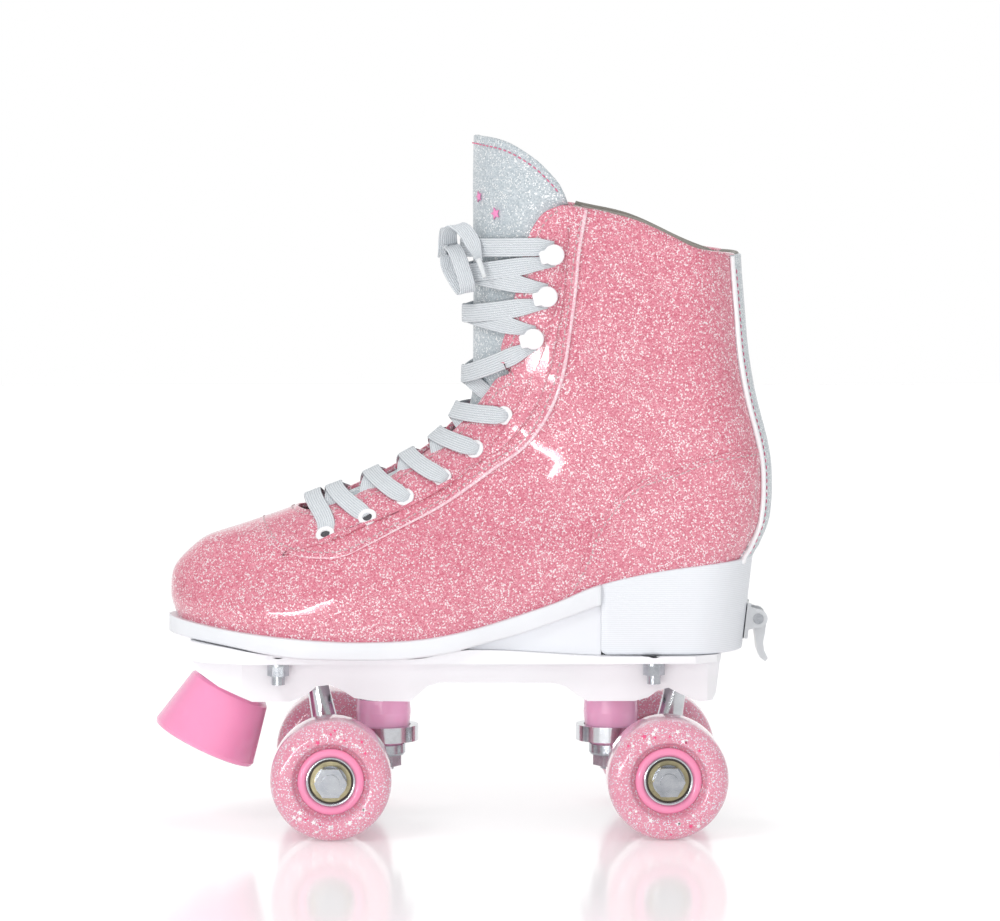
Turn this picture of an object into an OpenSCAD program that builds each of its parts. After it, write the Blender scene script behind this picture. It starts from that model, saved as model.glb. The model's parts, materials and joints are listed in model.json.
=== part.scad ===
// Quad roller skate: a high boot on a nylon plate with two sprung trucks, four wheels and a toe stop.
// X runs from the toe to the heel, Y towards the inner side of the foot, Z up. The wheels stand on Z = 0.

/* [Wheels] */
// Diameter of a wheel
wheel_d = 54; // [50:1:56]
// Width of a tyre
wheel_w = 32; // [28:1:34]
// Distance between the middles of the left and right wheels
track = 100; // [98:1:106]

/* [Trucks] */
// Place of the front axle along X
front_axle_x = -59.5; // [-61:0.5:-58]
// Distance between the axles
wheelbase = 150; // [148:1:152]
// Distance from an axle to its kingpin, towards the middle
kingpin_reach = 23; // [22:0.5:24]
// Distance from an axle to its pivot, away from the middle
pivot_reach = 8.5; // [7:0.5:10]
// Height of the pivot ball
pivot_z = 70; // [69:0.5:71]
// Diameter of an axle
axle_d = 8; // [8]
// Diameter of a kingpin
kingpin_d = 9.5; // [8:0.5:10]

/* [Plate] */
// Half the width of the plate's flange
flange_half = 37; // [35:0.5:38]
// Half the width of the plate's deep middle
block_half = 27; // [24:0.5:28]
// Underside of the flange
flange_z = 76; // [75.5:0.1:76.5]

/* [Toe stop] */
// Length of the toe stop along its stem
stop_len = 30; // [28:0.1:31]
// Radius at the plate
stop_r_top = 18.8; // [17:0.1:20]
// Radius at the ground end
stop_r_low = 24.4; // [22:0.1:25]
// Lean of the stem, in degrees from the vertical
stop_lean = 26; // [24:0.5:28]

/* [Boot] */
// Thickness of the upper
skin = 2.6; // [2:0.1:3]
// Place along X where the heel carriage parts from the front of the boot
split_x = 62; // [60:0.5:64]
// Thickness of the insole
insole_t = 4; // [3:0.5:5]

/* [Fasteners] */
// Diameter of a mounting bolt
bolt_d = 6; // [5:0.5:6]
// Width across the flats of a mounting nut
nut_af = 8.4; // [7.6:0.4:8.4]

/* [Hidden] */
$fn = 64;

PINK = [0.89, 0.53, 0.61];
GREY = [0.72, 0.78, 0.80];
WHITE = [0.95, 0.96, 0.98];
ROSE = [0.98, 0.55, 0.73];
STEEL = [0.75, 0.76, 0.78];

wheel_r = wheel_d / 2;
axle_z = wheel_r;
axle_r = axle_d / 2;
rear_axle_x = front_axle_x + wheelbase;
wheel_y = track / 2;
fit = 0.05;      // radial play of a running or sliding fit
gap = 0.4;       // play between pieces that only lie beside each other

// Ball bearing: 8 x 22 x 7
race_r = 11;
race_w = 7;
inner_race_r = 5.9;
shield_r = 6.2;
outer_race_in = 9.2;
ball_r = 1.9;
ball_play = 0.3;
ball_ring_r = 7.55;
hub_half = 13.5;
bearing_out = wheel_y + hub_half - 0.2;
bearing_in = wheel_y - hub_half + 0.2;
washer_t = 1;
axle_nut_t = 4.8;
axle_nut_af = 12.7;
hub_r = 13.8;

// Cushion stack on the kingpin
ring_r = 16;
ring_z = [37, 44];
upper_cushion_r = 12;
upper_cushion_top = 56;
lower_cushion_r = 9.3;
lower_cushion_low = 33.6;
seat_depth = 1.6;
seat_r = 12.4;
kingpin_low = 23.5;
kingpin_top = 76;
kingpin_nut_af = 14;
kingpin_nut_z = [25, 30.2];
ring_mid_z = (ring_z[0] + ring_z[1]) / 2;

// Boot: places along X and half widths, as smooth curves through a few points
FEATHER = [[-136, 94.4], [-124, 92.7], [-94, 89.1], [-55, 86.4], [-28, 86.6], [-11, 88.4], [9, 92.8],
           [40, 102.5], [60, 110.5], [92, 117.5], [132, 122]];
BAND_LOW = [[-136, 87], [-108, 84], [-80, 79.8], [-55, 78.8], [-28, 79], [-8, 81.2], [6, 84.7],
            [26, 89.8], [40, 94.4], [62, 102.3]];
PLATE_TOP = [[-126, 85.4], [-108, 83.4], [-80, 79.3], [-55, 78.4], [-30, 78.4], [-20, 78.5], [2, 82.4],
             [62, 79.4], [118, 79.4]];
FRONT_X = [[80, -130], [94, -132], [104, -133.5], [116, -131.7], [125, -123.8], [131, -115.5],
           [135.5, -102], [142, -83], [150, -62], [158, -42], [170, -19], [180, -7], [192, 0],
           [205, 2.5], [315, 2.5]];
FRONT_R = [[80, 66], [104, 70], [120, 140], [140, 190], [165, 117], [180, 80], [205, 42], [315, 42]];
BACK_X = [[80, 127], [98, 129.5], [121, 131.4], [127, 134.6], [139, 139.1], [159, 140.1], [173, 138.3],
          [194, 132.9], [214, 129.3], [236, 127.3], [258, 125.6], [315, 124]];
FOOT_HALF = [[-136, 40], [-100, 43], [-60, 44], [-20, 40.5], [20, 35], [60, 33], [100, 33.5], [140, 33]];
CENTRE_Y = [[-136, 6], [-95, 3.5], [-50, 0], [10, -1.5], [60, 0], [140, 0]];
TOPLINE = [[54, 279.8], [77, 274.4], [104, 262.1], [120, 257.4], [140, 257.6]];
COUNTER = [[58, 134.3], [66, 146.3], [78.4, 157.4], [94.4, 162.8], [111, 169.4], [140, 176]];
THROAT_LOW = [[-80, 144.5], [-62, 146], [-40, 154.5]];
// Throat edge and outer seam of the eyestay, point against point
STAY_IN = [[-40, 154.5], [-17, 169.7], [0, 183.7], [11, 197.5], [16, 208], [19, 225], [23, 240.5],
           [26.5, 258.3], [30.6, 270.5], [42, 280.8]];
STAY_OUT = [[-40, 134.5], [-16, 146.3], [9.4, 162.8], [26, 174.8], [36, 189], [42.8, 205.9],
            [46.4, 224], [49, 241], [51.2, 261], [54.4, 279.8]];
EYELETS = [[-62, 133.5], [-43, 141], [-26, 150], [-9, 159], [5.4, 172], [18.8, 187.7]];
HOOKS = [[32.1, 222.8], [37.4, 241.5], [40.1, 260]];
back_r = 28;
shaft_half = 37;
shaft_from = 125;
shaft_full = 195;
toe_x = -132;
vamp_end = -40;
vamp_top = 145;
backstay_reach = 4.8;

// Index of the stretch of a curve that holds x
function stretch(tab, x, i = 0) =
    i >= len(tab) - 2 || x < tab[i + 1][0] ? i : stretch(tab, x, i + 1);
function slope(tab, i) =
    let (a = tab[max(i - 1, 0)], b = tab[min(i + 1, len(tab) - 1)]) (b[1] - a[1]) / (b[0] - a[0]);
// Smooth curve through the points of a table
function curve(tab, x) =
    let (i = stretch(tab, x), a = tab[i], b = tab[i + 1], h = b[0] - a[0],
         t = min(1, max(0, (x - a[0]) / h)))
    (1 + 2 * t) * pow(1 - t, 2) * a[1] + t * pow(1 - t, 2) * slope(tab, i) * h
    + t * t * (3 - 2 * t) * b[1] + t * t * (t - 1) * slope(tab, i + 1) * h;
function mix(a, b, t) = a + (b - a) * t;
function ease(a, b, x) = let (t = min(1, max(0, (x - a) / (b - a)))) t * t * (3 - 2 * t);
function arc(t) = let (u = 1 - min(1, max(0, t))) sqrt(1 - u * u);
function unit(v) = v / norm(v);

function shaft(z) = ease(shaft_from, shaft_full, z);
function boot_width(x, z) = mix(curve(FOOT_HALF, x), shaft_half, shaft(z));
function boot_centre(x, z) = curve(CENTRE_Y, x) * (1 - shaft(z));
// Half width of the boot at a place in its side view, with the whole surface moved in by d
function boot_half(x, z, d = 0) =
    (boot_width(x, z) - d)
    * arc((x - curve(FRONT_X, z) - d) / (curve(FRONT_R, z) - d))
    * arc((curve(BACK_X, z) - d - x) / (back_r - d));
function on_boot(x, z, side, d = 0) = [x, boot_centre(x, z) + side * boot_half(x, z, d), z];
function boot_normal(x, z, side) =
    unit(side * cross(on_boot(x, z + 1, side) - on_boot(x, z - 1, side),
                      on_boot(x + 1, z, side) - on_boot(x - 1, z, side)));

// Faces of a sheet with thickness: two grids of the same size, the outer one seen clockwise
function quad(a, b, c, d) = [[a, b, c], [a, c, d]];
module slab(outer, inner) {
    rows = len(outer);
    cols = len(outer[0]);
    n = rows * cols;
    points = [for (sheet = [outer, inner]) for (row = sheet) each row];
    faces = [
        for (i = [0 : rows - 2]) for (j = [0 : cols - 2])
            let (a = i * cols + j, b = a + 1, d = a + cols, c = d + 1)
            each concat(quad(a, b, c, d), quad(n + a, n + d, n + c, n + b)),
        for (j = [0 : cols - 2])
            let (a = j, b = j + 1, p = (rows - 1) * cols + j, q = p + 1)
            each concat(quad(b, a, n + a, n + b), quad(p, q, n + q, n + p)),
        for (i = [0 : rows - 2])
            let (u = i * cols, w = u + cols, v = u + cols - 1, x = w + cols - 1)
            each concat(quad(u, w, n + w, n + u), quad(x, v, n + v, n + x))
    ];
    polyhedron(points, faces, convexity = 8);
}

// Bar of a constant section along a path, with a direction across it at each point
module sweep(path, across, section) {
    n = len(path);
    m = len(section);
    points = [
        for (i = [0 : n - 1])
            let (t = unit(path[min(i + 1, n - 1)] - path[max(i - 1, 0)]),
                 e = unit(across[i] - t * (t * across[i])), f = cross(t, e))
            for (s = section) path[i] + e * s[0] + f * s[1]
    ];
    faces = concat(
        [for (i = [0 : n - 2]) for (k = [0 : m - 1])
            let (a = i * m + k, b = i * m + (k + 1) % m) each quad(a, a + m, b + m, b)],
        [[for (k = [0 : m - 1]) k]],
        [[for (k = [0 : m - 1]) (n - 1) * m + m - 1 - k]]
    );
    polyhedron(points, faces, convexity = 8);
}

function rect(w, t) = [[-w / 2, -t / 2], [w / 2, -t / 2], [w / 2, t / 2], [-w / 2, t / 2]];
function ngon(r, n) = [for (k = [0 : n - 1]) r * [cos(360 * k / n), sin(360 * k / n)]];

// Turns the Z axis of its children to a direction
module towards(v) {
    rotate([0, acos(v[2] / norm(v)), atan2(v[1], v[0])]) children();
}
module along_y(y) { translate([0, y, 0]) rotate([-90, 0, 0]) children(); }
module hex(af, h) { cylinder(d = af / cos(30), h = h, $fn = 6); }
// Side outline, drawn in X and Z, made as thick as 2 * half across Y
module side_view(half) { rotate([90, 0, 0]) linear_extrude(height = 2 * half, center = true) children(); }

// ---------------------------------------------------------------- plate and what is bolted to it

PLATE_LOW = [[-122, 72], [-110.6, 64.3], [-95.4, 57.9], [-78.3, 57.9], [-71.4, 60.8], [-66.5, 64.8],
             [-60.4, 65.6], [-54.4, 62.8], [-49.5, 59.6], [-40.5, 58.2], [-24.4, 57.9], [-21, 60.8],
             [-16.5, 64.8], [-10.6, 66.5], [39.9, 66.2], [45.7, 64.6], [51.4, 60.3], [55.9, 57.9],
             [77, 57.9], [83.3, 59.6], [88, 63], [92.4, 63.9], [97, 61.5], [106.1, 57.5], [112.4, 58.2],
             [114, 61]];
BOLTS_X = [-83.5, 85.5];
bolt_y = 32;
stop_top = [-105.7, 0, 61.9];
stop_axis = [-sin(stop_lean), 0, -cos(stop_lean)];
stem_r = 4;
stop_head_r = 7;
stop_head_len = 8;

plate_toe_x = -123.5;
function plate_top_edge() = [for (x = concat([for (x = [116.4 : -5 : -120]) x], [plate_toe_x])) [x, curve(PLATE_TOP, x)]];
module plate_side() {
    polygon(concat(PLATE_LOW, [[116.4, 79]], plate_top_edge()));
}
module flange_side() {
    polygon(concat([[-122.6, flange_z], [115.9, flange_z], [116.4, 79]], plate_top_edge()));
}
module flange_plan() {
    polygon([[-124, -22], [-116, -30], [-98, -flange_half], [104, -flange_half], [114, -flange_half + 7],
             [118, -20], [118, 20], [114, flange_half - 7], [104, flange_half], [-98, flange_half],
             [-116, 30], [-124, 22]]);
}
module truck_places() {
    translate([front_axle_x, 0, 0]) children();
    translate([rear_axle_x, 0, 0]) mirror([1, 0, 0]) children();
}
module at_stop() { translate(stop_top) towards(stop_axis) children(); }
module at_bolts() { for (x = BOLTS_X, y = [-bolt_y, bolt_y]) translate([x, y, 0]) children(); }

cup_r = 7.4;
cup_depth = 7;
pivot_r = 4.8;
// Directions from the axle, on the front truck
pivot_dir = unit([-pivot_reach, 0, pivot_z - axle_z]);

module plate() color(WHITE) difference() {
    union() {
        intersection() {
            side_view(block_half) plate_side();
            translate([0, 0, 40]) linear_extrude(height = 60) polygon([[-124, -19], [-100, -block_half],
                [110, -block_half], [118, -20], [118, 20], [110, block_half], [-100, block_half], [-124, 19]]);
        }
        intersection() {
            side_view(flange_half) flange_side();
            translate([0, 0, 40]) linear_extrude(height = 60) flange_plan();
        }
    }
    truck_places() {
        translate([kingpin_reach, 0, 40]) cylinder(d = kingpin_d + 2 * fit, h = 36.5);
        translate([-pivot_reach, 0, pivot_z] - 14 * pivot_dir) towards(pivot_dir) cylinder(r = cup_r + fit, h = 20.6);
    }
    at_stop() translate([0, 0, -14]) cylinder(r = stem_r + fit, h = 20);
    at_bolts() {
        translate([0, 0, 70]) cylinder(d = bolt_d + 2 * fit, h = 14);
        translate([0, 0, 76.6]) cylinder(r1 = bolt_d / 2 + fit, r2 = bolt_d / 2 + 2.6, h = 2.6);
    }
}

module mounting_bolts() color(STEEL) at_bolts() {
    translate([0, 0, 66.4]) cylinder(d = bolt_d, h = 11);
    translate([0, 0, 76.7]) cylinder(r1 = bolt_d / 2, r2 = bolt_d / 2 + 1.6, h = 1.6);
}
module mounting_nuts() color(STEEL) at_bolts() difference() {
    union() {
        translate([0, 0, 74.9]) cylinder(r = 4.9, h = 1);
        translate([0, 0, 70.4]) hex(nut_af, 4.5);
    }
    translate([0, 0, 70]) cylinder(d = bolt_d + 2 * fit, h = 6);
}

module toe_stop() color(ROSE) at_stop() difference() {
    rotate_extrude() polygon([[0, 0.4], [stop_r_top - 1.5, 0.4], [stop_r_top, 2], [stop_r_low, stop_len - 2.2],
        [stop_r_low - 0.6, stop_len - 0.6], [stop_r_low - 2.2, stop_len], [0, stop_len]]);
    translate([0, 0, -1]) cylinder(r = stem_r + fit, h = stop_len);
    translate([0, 0, stop_len - 12]) cylinder(r = stop_head_r + 1.2, h = 14);
}
module toe_stop_bolt() color(STEEL) at_stop() difference() {
    union() {
        translate([0, 0, -12]) cylinder(r = stem_r, h = stop_len - 1);
        translate([0, 0, stop_len - 12]) cylinder(r = stop_head_r, h = stop_head_len);
    }
    translate([0, 0, stop_len - 8]) hex(6, 6);
}

// ---------------------------------------------------------------- trucks, given for the front one

module hanger() color(STEEL) translate([front_axle_x, 0, 0]) difference() {
    union() {
        translate([0, 0, axle_z]) rotate([90, 0, 0]) rotate_extrude() polygon([[0, -35.6], [6.4, -35.6], [6.8, -26],
            [9.4, -14], [9.4, 14], [6.8, 26], [6.4, 35.6], [0, 35.6]]);
        translate([kingpin_reach, 0, ring_z[0]]) cylinder(r = ring_r, h = ring_z[1] - ring_z[0]);
        difference() {
            intersection() {
                side_view(30) polygon([[-3, 24], [6, 20], [10, 28], [13, 36], [kingpin_reach, 38.5],
                    [kingpin_reach, ring_z[1] - 0.8], [8, ring_z[1] - 0.8], [-3, 35]]);
                linear_extrude(height = 60) polygon([[-4, -13.5], [10, -12.5], [kingpin_reach, -ring_r + 0.6],
                    [kingpin_reach, ring_r - 0.6], [10, 12.5], [-4, 13.5]]);
            }
            translate([kingpin_reach, 0, 10]) cylinder(r = 12.1, h = ring_z[0] - 9.4);
        }
        translate([0, 0, axle_z]) towards(pivot_dir) cylinder(r1 = 7.2, r2 = pivot_r - 0.5, h = norm([pivot_reach, pivot_z - axle_z]));
        translate([-pivot_reach, 0, pivot_z]) sphere(r = pivot_r);
    }
    along_y(-40) translate([0, -axle_z, 0]) cylinder(r = axle_r + 0.02, h = 80);
    translate([kingpin_reach, 0, 30]) cylinder(r = 8, h = 30);
    translate([kingpin_reach, 0, ring_z[1] - seat_depth]) cylinder(r = seat_r, h = 6);
    translate([kingpin_reach, 0, ring_z[0] + 1 - 6]) cylinder(r = lower_cushion_r + 0.4, h = 6);
}
module axle() color(STEEL) translate([front_axle_x, 0, axle_z])
    along_y(-bearing_out - washer_t - axle_nut_t - 0.8) cylinder(r = axle_r, h = 2 * (bearing_out + washer_t + axle_nut_t + 0.8));
module each_side() { children(); mirror([0, 1, 0]) children(); }
module axle_nuts() color(STEEL) translate([front_axle_x, 0, axle_z]) each_side()
    along_y(bearing_out + washer_t) difference() {
        hex(axle_nut_af, axle_nut_t);
        translate([0, 0, -1]) cylinder(r = axle_r + 0.02, h = 10);
    }
module ring(r_in, r_out, h) difference() {
    cylinder(r = r_out, h = h);
    translate([0, 0, -1]) cylinder(r = r_in, h = h + 2);
}
module axle_washers() color(STEEL) translate([front_axle_x, 0, axle_z]) each_side() {
    along_y(bearing_out) ring(axle_r + 0.02, 7.2, washer_t);
    along_y(bearing_in - washer_t) ring(axle_r + 0.02, 6.2, washer_t - 0.1);
}
module bearing_inners() color(STEEL) translate([front_axle_x, 0, axle_z]) each_side()
    along_y(bearing_in) rotate_extrude() difference() {
        translate([axle_r + 0.02, 0]) square([inner_race_r - axle_r, bearing_out - bearing_in]);
        translate([5.2, race_w]) square([3, bearing_out - bearing_in - 2 * race_w]);
        for (z = [race_w / 2, bearing_out - bearing_in - race_w / 2]) translate([ball_ring_r, z]) circle(r = ball_r + ball_play);
    }

module front_cushion_upper() color(ROSE) cushion_upper(front_axle_x + kingpin_reach);
module rear_cushion_upper() color(ROSE) cushion_upper(rear_axle_x - kingpin_reach);
module front_cushion_lower() color(ROSE) cushion_lower(front_axle_x + kingpin_reach);
module rear_cushion_lower() color(ROSE) cushion_lower(rear_axle_x - kingpin_reach);
module cushion_upper(x) translate([x, 0, 0]) rotate_extrude() polygon([
    [kingpin_d / 2 + 0.3, ring_z[1] - seat_depth + 0.05], [upper_cushion_r - 0.6, ring_z[1] - seat_depth + 0.05],
    [upper_cushion_r, ring_z[1]], [upper_cushion_r + 0.5, (ring_z[1] + upper_cushion_top) / 2],
    [upper_cushion_r, upper_cushion_top], [kingpin_d / 2 + 0.3, upper_cushion_top]]);
module cushion_lower(x) translate([x, 0, 0]) rotate_extrude() polygon([
    [kingpin_d / 2 + 0.3, lower_cushion_low], [lower_cushion_r - 0.5, lower_cushion_low],
    [lower_cushion_r, ring_z[0] + 0.95], [kingpin_d / 2 + 0.3, ring_z[0] + 0.95]]);

module kingpins() color(STEEL) truck_places() translate([kingpin_reach, 0, kingpin_low])
    cylinder(d = kingpin_d, h = kingpin_top - kingpin_low);
module kingpin_nuts() color(STEEL) truck_places() translate([kingpin_reach, 0, kingpin_nut_z[0]]) difference() {
    hex(kingpin_nut_af, kingpin_nut_z[1] - kingpin_nut_z[0]);
    translate([0, 0, -1]) cylinder(d = kingpin_d + 0.04, h = 10);
}
module cushion_washers() color(STEEL) truck_places() translate([kingpin_reach, 0, 0]) {
    rotate_extrude() polygon([[kingpin_d / 2 + 0.02, kingpin_nut_z[1]], [lower_cushion_r, kingpin_nut_z[1]],
        [lower_cushion_r + 0.7, kingpin_nut_z[1] + 1], [lower_cushion_r + 0.7, lower_cushion_low + 1.4],
        [lower_cushion_r + 0.1, lower_cushion_low + 1.4], [lower_cushion_r + 0.1, lower_cushion_low - 0.05],
        [kingpin_d / 2 + 0.02, lower_cushion_low - 0.05]]);
    rotate_extrude() polygon([[kingpin_d / 2 + 0.02, upper_cushion_top + 0.05], [upper_cushion_r + 0.4, upper_cushion_top + 0.05],
        [upper_cushion_r + 0.4, 57.6], [kingpin_d / 2 + 0.02, 57.6]]);
}
module pivot_cups() color([0.3, 0.3, 0.32]) truck_places() translate([-pivot_reach, 0, pivot_z] - 3 * pivot_dir)
    towards(pivot_dir) difference() {
        cylinder(r = cup_r, h = 9.4);
        translate([0, 0, -1]) cylinder(r = pivot_r + 0.6, h = 4.2);
        translate([0, 0, 3]) sphere(r = pivot_r + 0.3);
    }

module rear_truck() { translate([front_axle_x + rear_axle_x, 0, 0]) mirror([1, 0, 0]) children(); }
module front_hanger() hanger();
module rear_hanger() rear_truck() hanger();
module front_axle() axle();
module rear_axle() rear_truck() axle();
module front_axle_nuts() axle_nuts();
module rear_axle_nuts() rear_truck() axle_nuts();
module front_axle_washers() axle_washers();
module rear_axle_washers() rear_truck() axle_washers();
module front_bearing_inners() bearing_inners();
module rear_bearing_inners() rear_truck() bearing_inners();

// ---------------------------------------------------------------- wheels

module at_wheel(x, side) { translate([x, side * wheel_y, axle_z]) rotate([side * -90, 0, 0]) children(); }
tyre_round = 6;
module tyre(x, side) color([0.93, 0.6, 0.7]) at_wheel(x, side) rotate_extrude() difference() {
    union() {
        translate([hub_r + 0.02, -hub_half + 1]) square([wheel_r - hub_r - 2, 2 * hub_half - 2]);
        translate([17, -wheel_w / 2]) square([wheel_r - tyre_round - 17, wheel_w]);
        translate([17, -wheel_w / 2 + tyre_round]) square([wheel_r - 17, wheel_w - 2 * tyre_round]);
        for (z = [-1, 1]) translate([wheel_r - tyre_round, z * (wheel_w / 2 - tyre_round)]) circle(r = tyre_round);
    }
    for (z = [-1, 1]) translate([17, z * (wheel_w / 2)]) circle(r = 1.2);
}
module hub(x, side) color(ROSE) at_wheel(x, side) rotate_extrude() polygon([
    [race_r + 0.02, -hub_half], [hub_r, -hub_half], [hub_r, hub_half], [race_r + 0.02, hub_half],
    [race_r + 0.02, hub_half - race_w - 0.2], [9.4, hub_half - race_w - 0.2],
    [9.4, -hub_half + race_w + 0.2], [race_r + 0.02, -hub_half + race_w + 0.2]]);
module bearings(x, side) color(STEEL) at_wheel(x, side) for (end = [0, 1]) mirror([0, 0, end])
    translate([0, 0, hub_half - race_w - 0.2]) {
        rotate_extrude() difference() {
            translate([outer_race_in, 0]) square([race_r - outer_race_in, race_w]);
            translate([ball_ring_r, race_w / 2]) circle(r = ball_r + 0.1);
        }
        for (z = [0.3, race_w - 0.9]) translate([0, 0, z]) ring(shield_r, outer_race_in + 0.01, 0.6);
        for (k = [0 : 6]) rotate(k * 360 / 7) translate([ball_ring_r, 0, race_w / 2]) sphere(r = ball_r);
    }
module tyre_front_left() tyre(front_axle_x, -1);
module tyre_front_right() tyre(front_axle_x, 1);
module tyre_rear_left() tyre(rear_axle_x, -1);
module tyre_rear_right() tyre(rear_axle_x, 1);
module hub_front_left() hub(front_axle_x, -1);
module hub_front_right() hub(front_axle_x, 1);
module hub_rear_left() hub(rear_axle_x, -1);
module hub_rear_right() hub(rear_axle_x, 1);
module bearings_front_left() bearings(front_axle_x, -1);
module bearings_front_right() bearings(front_axle_x, 1);
module bearings_rear_left() bearings(rear_axle_x, -1);
module bearings_rear_right() bearings(rear_axle_x, 1);

// ---------------------------------------------------------------- sole, wedge and heel block

rim = 2.2;          // how far the sole stands out from the upper
sole_rows = 22;
wedge_half = 32;
rail_half = 20;
rail_top = 92;
rail_end = 106;
function spread(a, b, n) = [for (i = [0 : n]) a + (b - a) * (1 - cos(90 * i / n))];
function strip(xs, halves, zs) =
    [for (i = [0 : len(xs) - 1]) let (c = boot_centre(xs[i], 0)) [[xs[i], c - halves[i], zs[i]], [xs[i], c + halves[i], zs[i]]]];

module front_sole() color(WHITE) {
    xs = spread(curve(FRONT_X, 94) - rim + 0.25, split_x - gap, sole_rows);
    halves = [for (x = xs) boot_half(x, 94, -rim)];
    slab(strip(xs, halves, [for (x = xs) curve(FEATHER, x)]), strip(xs, halves, [for (x = xs) curve(BAND_LOW, x)]));
}
module arch_wedge() color(WHITE) union() {
    xs = [for (i = [0 : 12]) mix(2, split_x - gap, i / 12)];
    halves = [for (x = xs) wedge_half];
    slab(strip(xs, halves, [for (x = xs) curve(BAND_LOW, x) - 0.15]), strip(xs, halves, [for (x = xs) curve(PLATE_TOP, x) + 0.1]));
    translate([split_x - 6, -rail_half, 79.6]) cube([rail_end - split_x + 6, 2 * rail_half, rail_top - 79.6]);
}
block_low = 79.9;
block_back = [126.8, 131.6];    // back of the heel block at its foot and at its top
block_grow = 0.8;
module heel_block() color(WHITE) difference() {
    xs = concat([for (i = [0 : 6]) mix(split_x, 104, i / 6)],
                [for (i = [1 : 9]) 104 + (block_back[1] - 104) * sin(90 * i / 9) - (i == 9 ? 0.15 : 0)]);
    halves = [for (x = xs) max(3, boot_half(x, 121, -block_grow))];
    k = (block_back[0] - split_x) / (block_back[1] - split_x);
    low = [for (x = xs) split_x + (x - split_x) * k];
    slab(strip(xs, halves, [for (x = xs) curve(FEATHER, x)]), strip(low, halves, [for (x = xs) block_low]));
    translate([split_x - 1, -rail_half - 0.6, block_low - 1]) cube([rail_end + 18 - split_x, 2 * rail_half + 1.2, rail_top - block_low + 1.6]);
}

function insole_sheet(x0, x1, n, lift) = [for (i = [0 : n]) let (x = mix(x0, x1, i / n), c = boot_centre(x, 0),
    h = max(2, boot_half(x, curve(FEATHER, x) + 4, skin + 3.4))) [[x, c - h, curve(FEATHER, x) + lift], [x, c + h, curve(FEATHER, x) + lift]]];
module insole_front() color([0.85, 0.83, 0.8])
    slab(insole_sheet(-125, split_x - gap, 16, 0.2 + insole_t), insole_sheet(-125, split_x - gap, 16, 0.2));
module insole_rear() color([0.85, 0.83, 0.8])
    slab(insole_sheet(split_x + 0.1, 124, 10, 0.2 + insole_t), insole_sheet(split_x + 0.1, 124, 10, 0.2));

// ---------------------------------------------------------------- upper

lift = 0.3;     // play between the upper and the sole
function vamp_point(s, k, d) =
    let (zf = mix(curve(FEATHER, toe_x), vamp_top, k), xs = curve(FRONT_X, zf) + d,
         x = xs + (vamp_end - xs) * (1 - cos(90 * abs(s))),
         top = x < -80 ? vamp_top - 0.5 : curve(THROAT_LOW, x),
         z = mix(curve(FEATHER, x) + lift, top, k))
    [x, boot_centre(x, z) + (s == 0 ? 0 : sign(s) * boot_half(x, z, d)), z - (d > 0 ? 2 * k : 0)];
module vamp() color(PINK) {
    ks = [0, 0.15, 0.3, 0.45, 0.58, 0.68, 0.76, 0.83, 0.9, 0.95, 1];
    slab([for (k = ks) [for (s = [-1 : 0.1 : 1.01]) vamp_point(round(s * 10) / 10, k, 0)]],
         [for (k = ks) [for (s = [-1 : 0.1 : 1.01]) vamp_point(round(s * 10) / 10, k, skin)]]);
}

// Point between two outlines of a panel, both running towards the heel
function between(low, high, u, v) = mix(line_at(low, u), line_at(high, u), v);
function line_at(line, u) = let (n = len(line) - 1, k = min(n - 1, floor(u * n)), t = u * n - k) mix(line[k], line[k + 1], t);
// Panel of one side of the boot, between two outlines in its side view
module panel(low, high, side, cols, rows) {
    js = side > 0 ? [0 : cols] : [cols : -1 : 0];
    slab([for (i = [0 : rows]) [for (j = js) let (p = between(low, high, j / cols, i / rows)) on_boot(p[0], p[1], side)]],
         [for (i = [0 : rows]) [for (j = js) let (p = between(low, high, j / cols, i / rows)) on_boot(p[0], p[1], side, skin)]]);
}
STAY_SEAM = concat([for (p = STAY_OUT) p + [0.15, -0.2]], [[split_x - gap, 277.6]]);
module quarter(side) color(PINK) {
    x0 = vamp_end + 0.3;
    low = [for (i = [0 : len(STAY_SEAM) - 1]) let (x = mix(x0, split_x - gap, i / (len(STAY_SEAM) - 1))) [x, curve(FEATHER, x) + lift]];
    panel(low, [for (p = STAY_SEAM) [max(x0, p[0]), p[1]]], side, 22, 10);
}
module eyestay(side) color(PINK) panel([for (p = STAY_OUT) [max(vamp_end + 0.3, p[0]), p[1]]],
                                       [for (p = STAY_IN) [max(vamp_end + 0.3, p[0]), p[1]]], side, 18, 4);
module quarter_left() quarter(-1);
module quarter_right() quarter(1);
module eyestay_left() eyestay(-1);
module eyestay_right() eyestay(1);

// Half of the gap that the piping covers, along X
piping_gap = 0.45;
function back_edge(z) = curve(BACK_X, z) - backstay_reach;
function rear_low(x) = curve(FEATHER, x) + lift;
rear_cols = 12;
// Front and rear borders of the panels behind the split, at a share of the way up
module rear_panel(low, high, side, rows) {
    js = side > 0 ? [0 : rear_cols] : [rear_cols : -1 : 0];
    function place(i, j) =
        let (u = 1 - pow(1 - j / rear_cols, 1.6), v = i / rows, x0 = split_x + 0.1,
             xg = mix(x0, 130, u), zg = mix(low(xg), high(xg), v),
             x = mix(x0, back_edge(zg) - piping_gap, u)) [x, mix(low(x), high(x), v)];
    slab([for (i = [0 : rows]) [for (j = js) let (p = place(i, j)) on_boot(p[0], p[1], side)]],
         [for (i = [0 : rows]) [for (j = js) let (p = place(i, j)) on_boot(p[0], p[1], side, skin)]]);
}
module heel_quarter() color(PINK) for (side = [-1, 1])
    rear_panel(function (x) curve(COUNTER, x) + 0.2, function (x) curve(TOPLINE, x), side, 8);
module heel_counter() color(PINK) for (side = [-1, 1])
    rear_panel(function (x) rear_low(x), function (x) curve(COUNTER, x) - 0.2, side, 5);

backstay_rows = 16;
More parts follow.
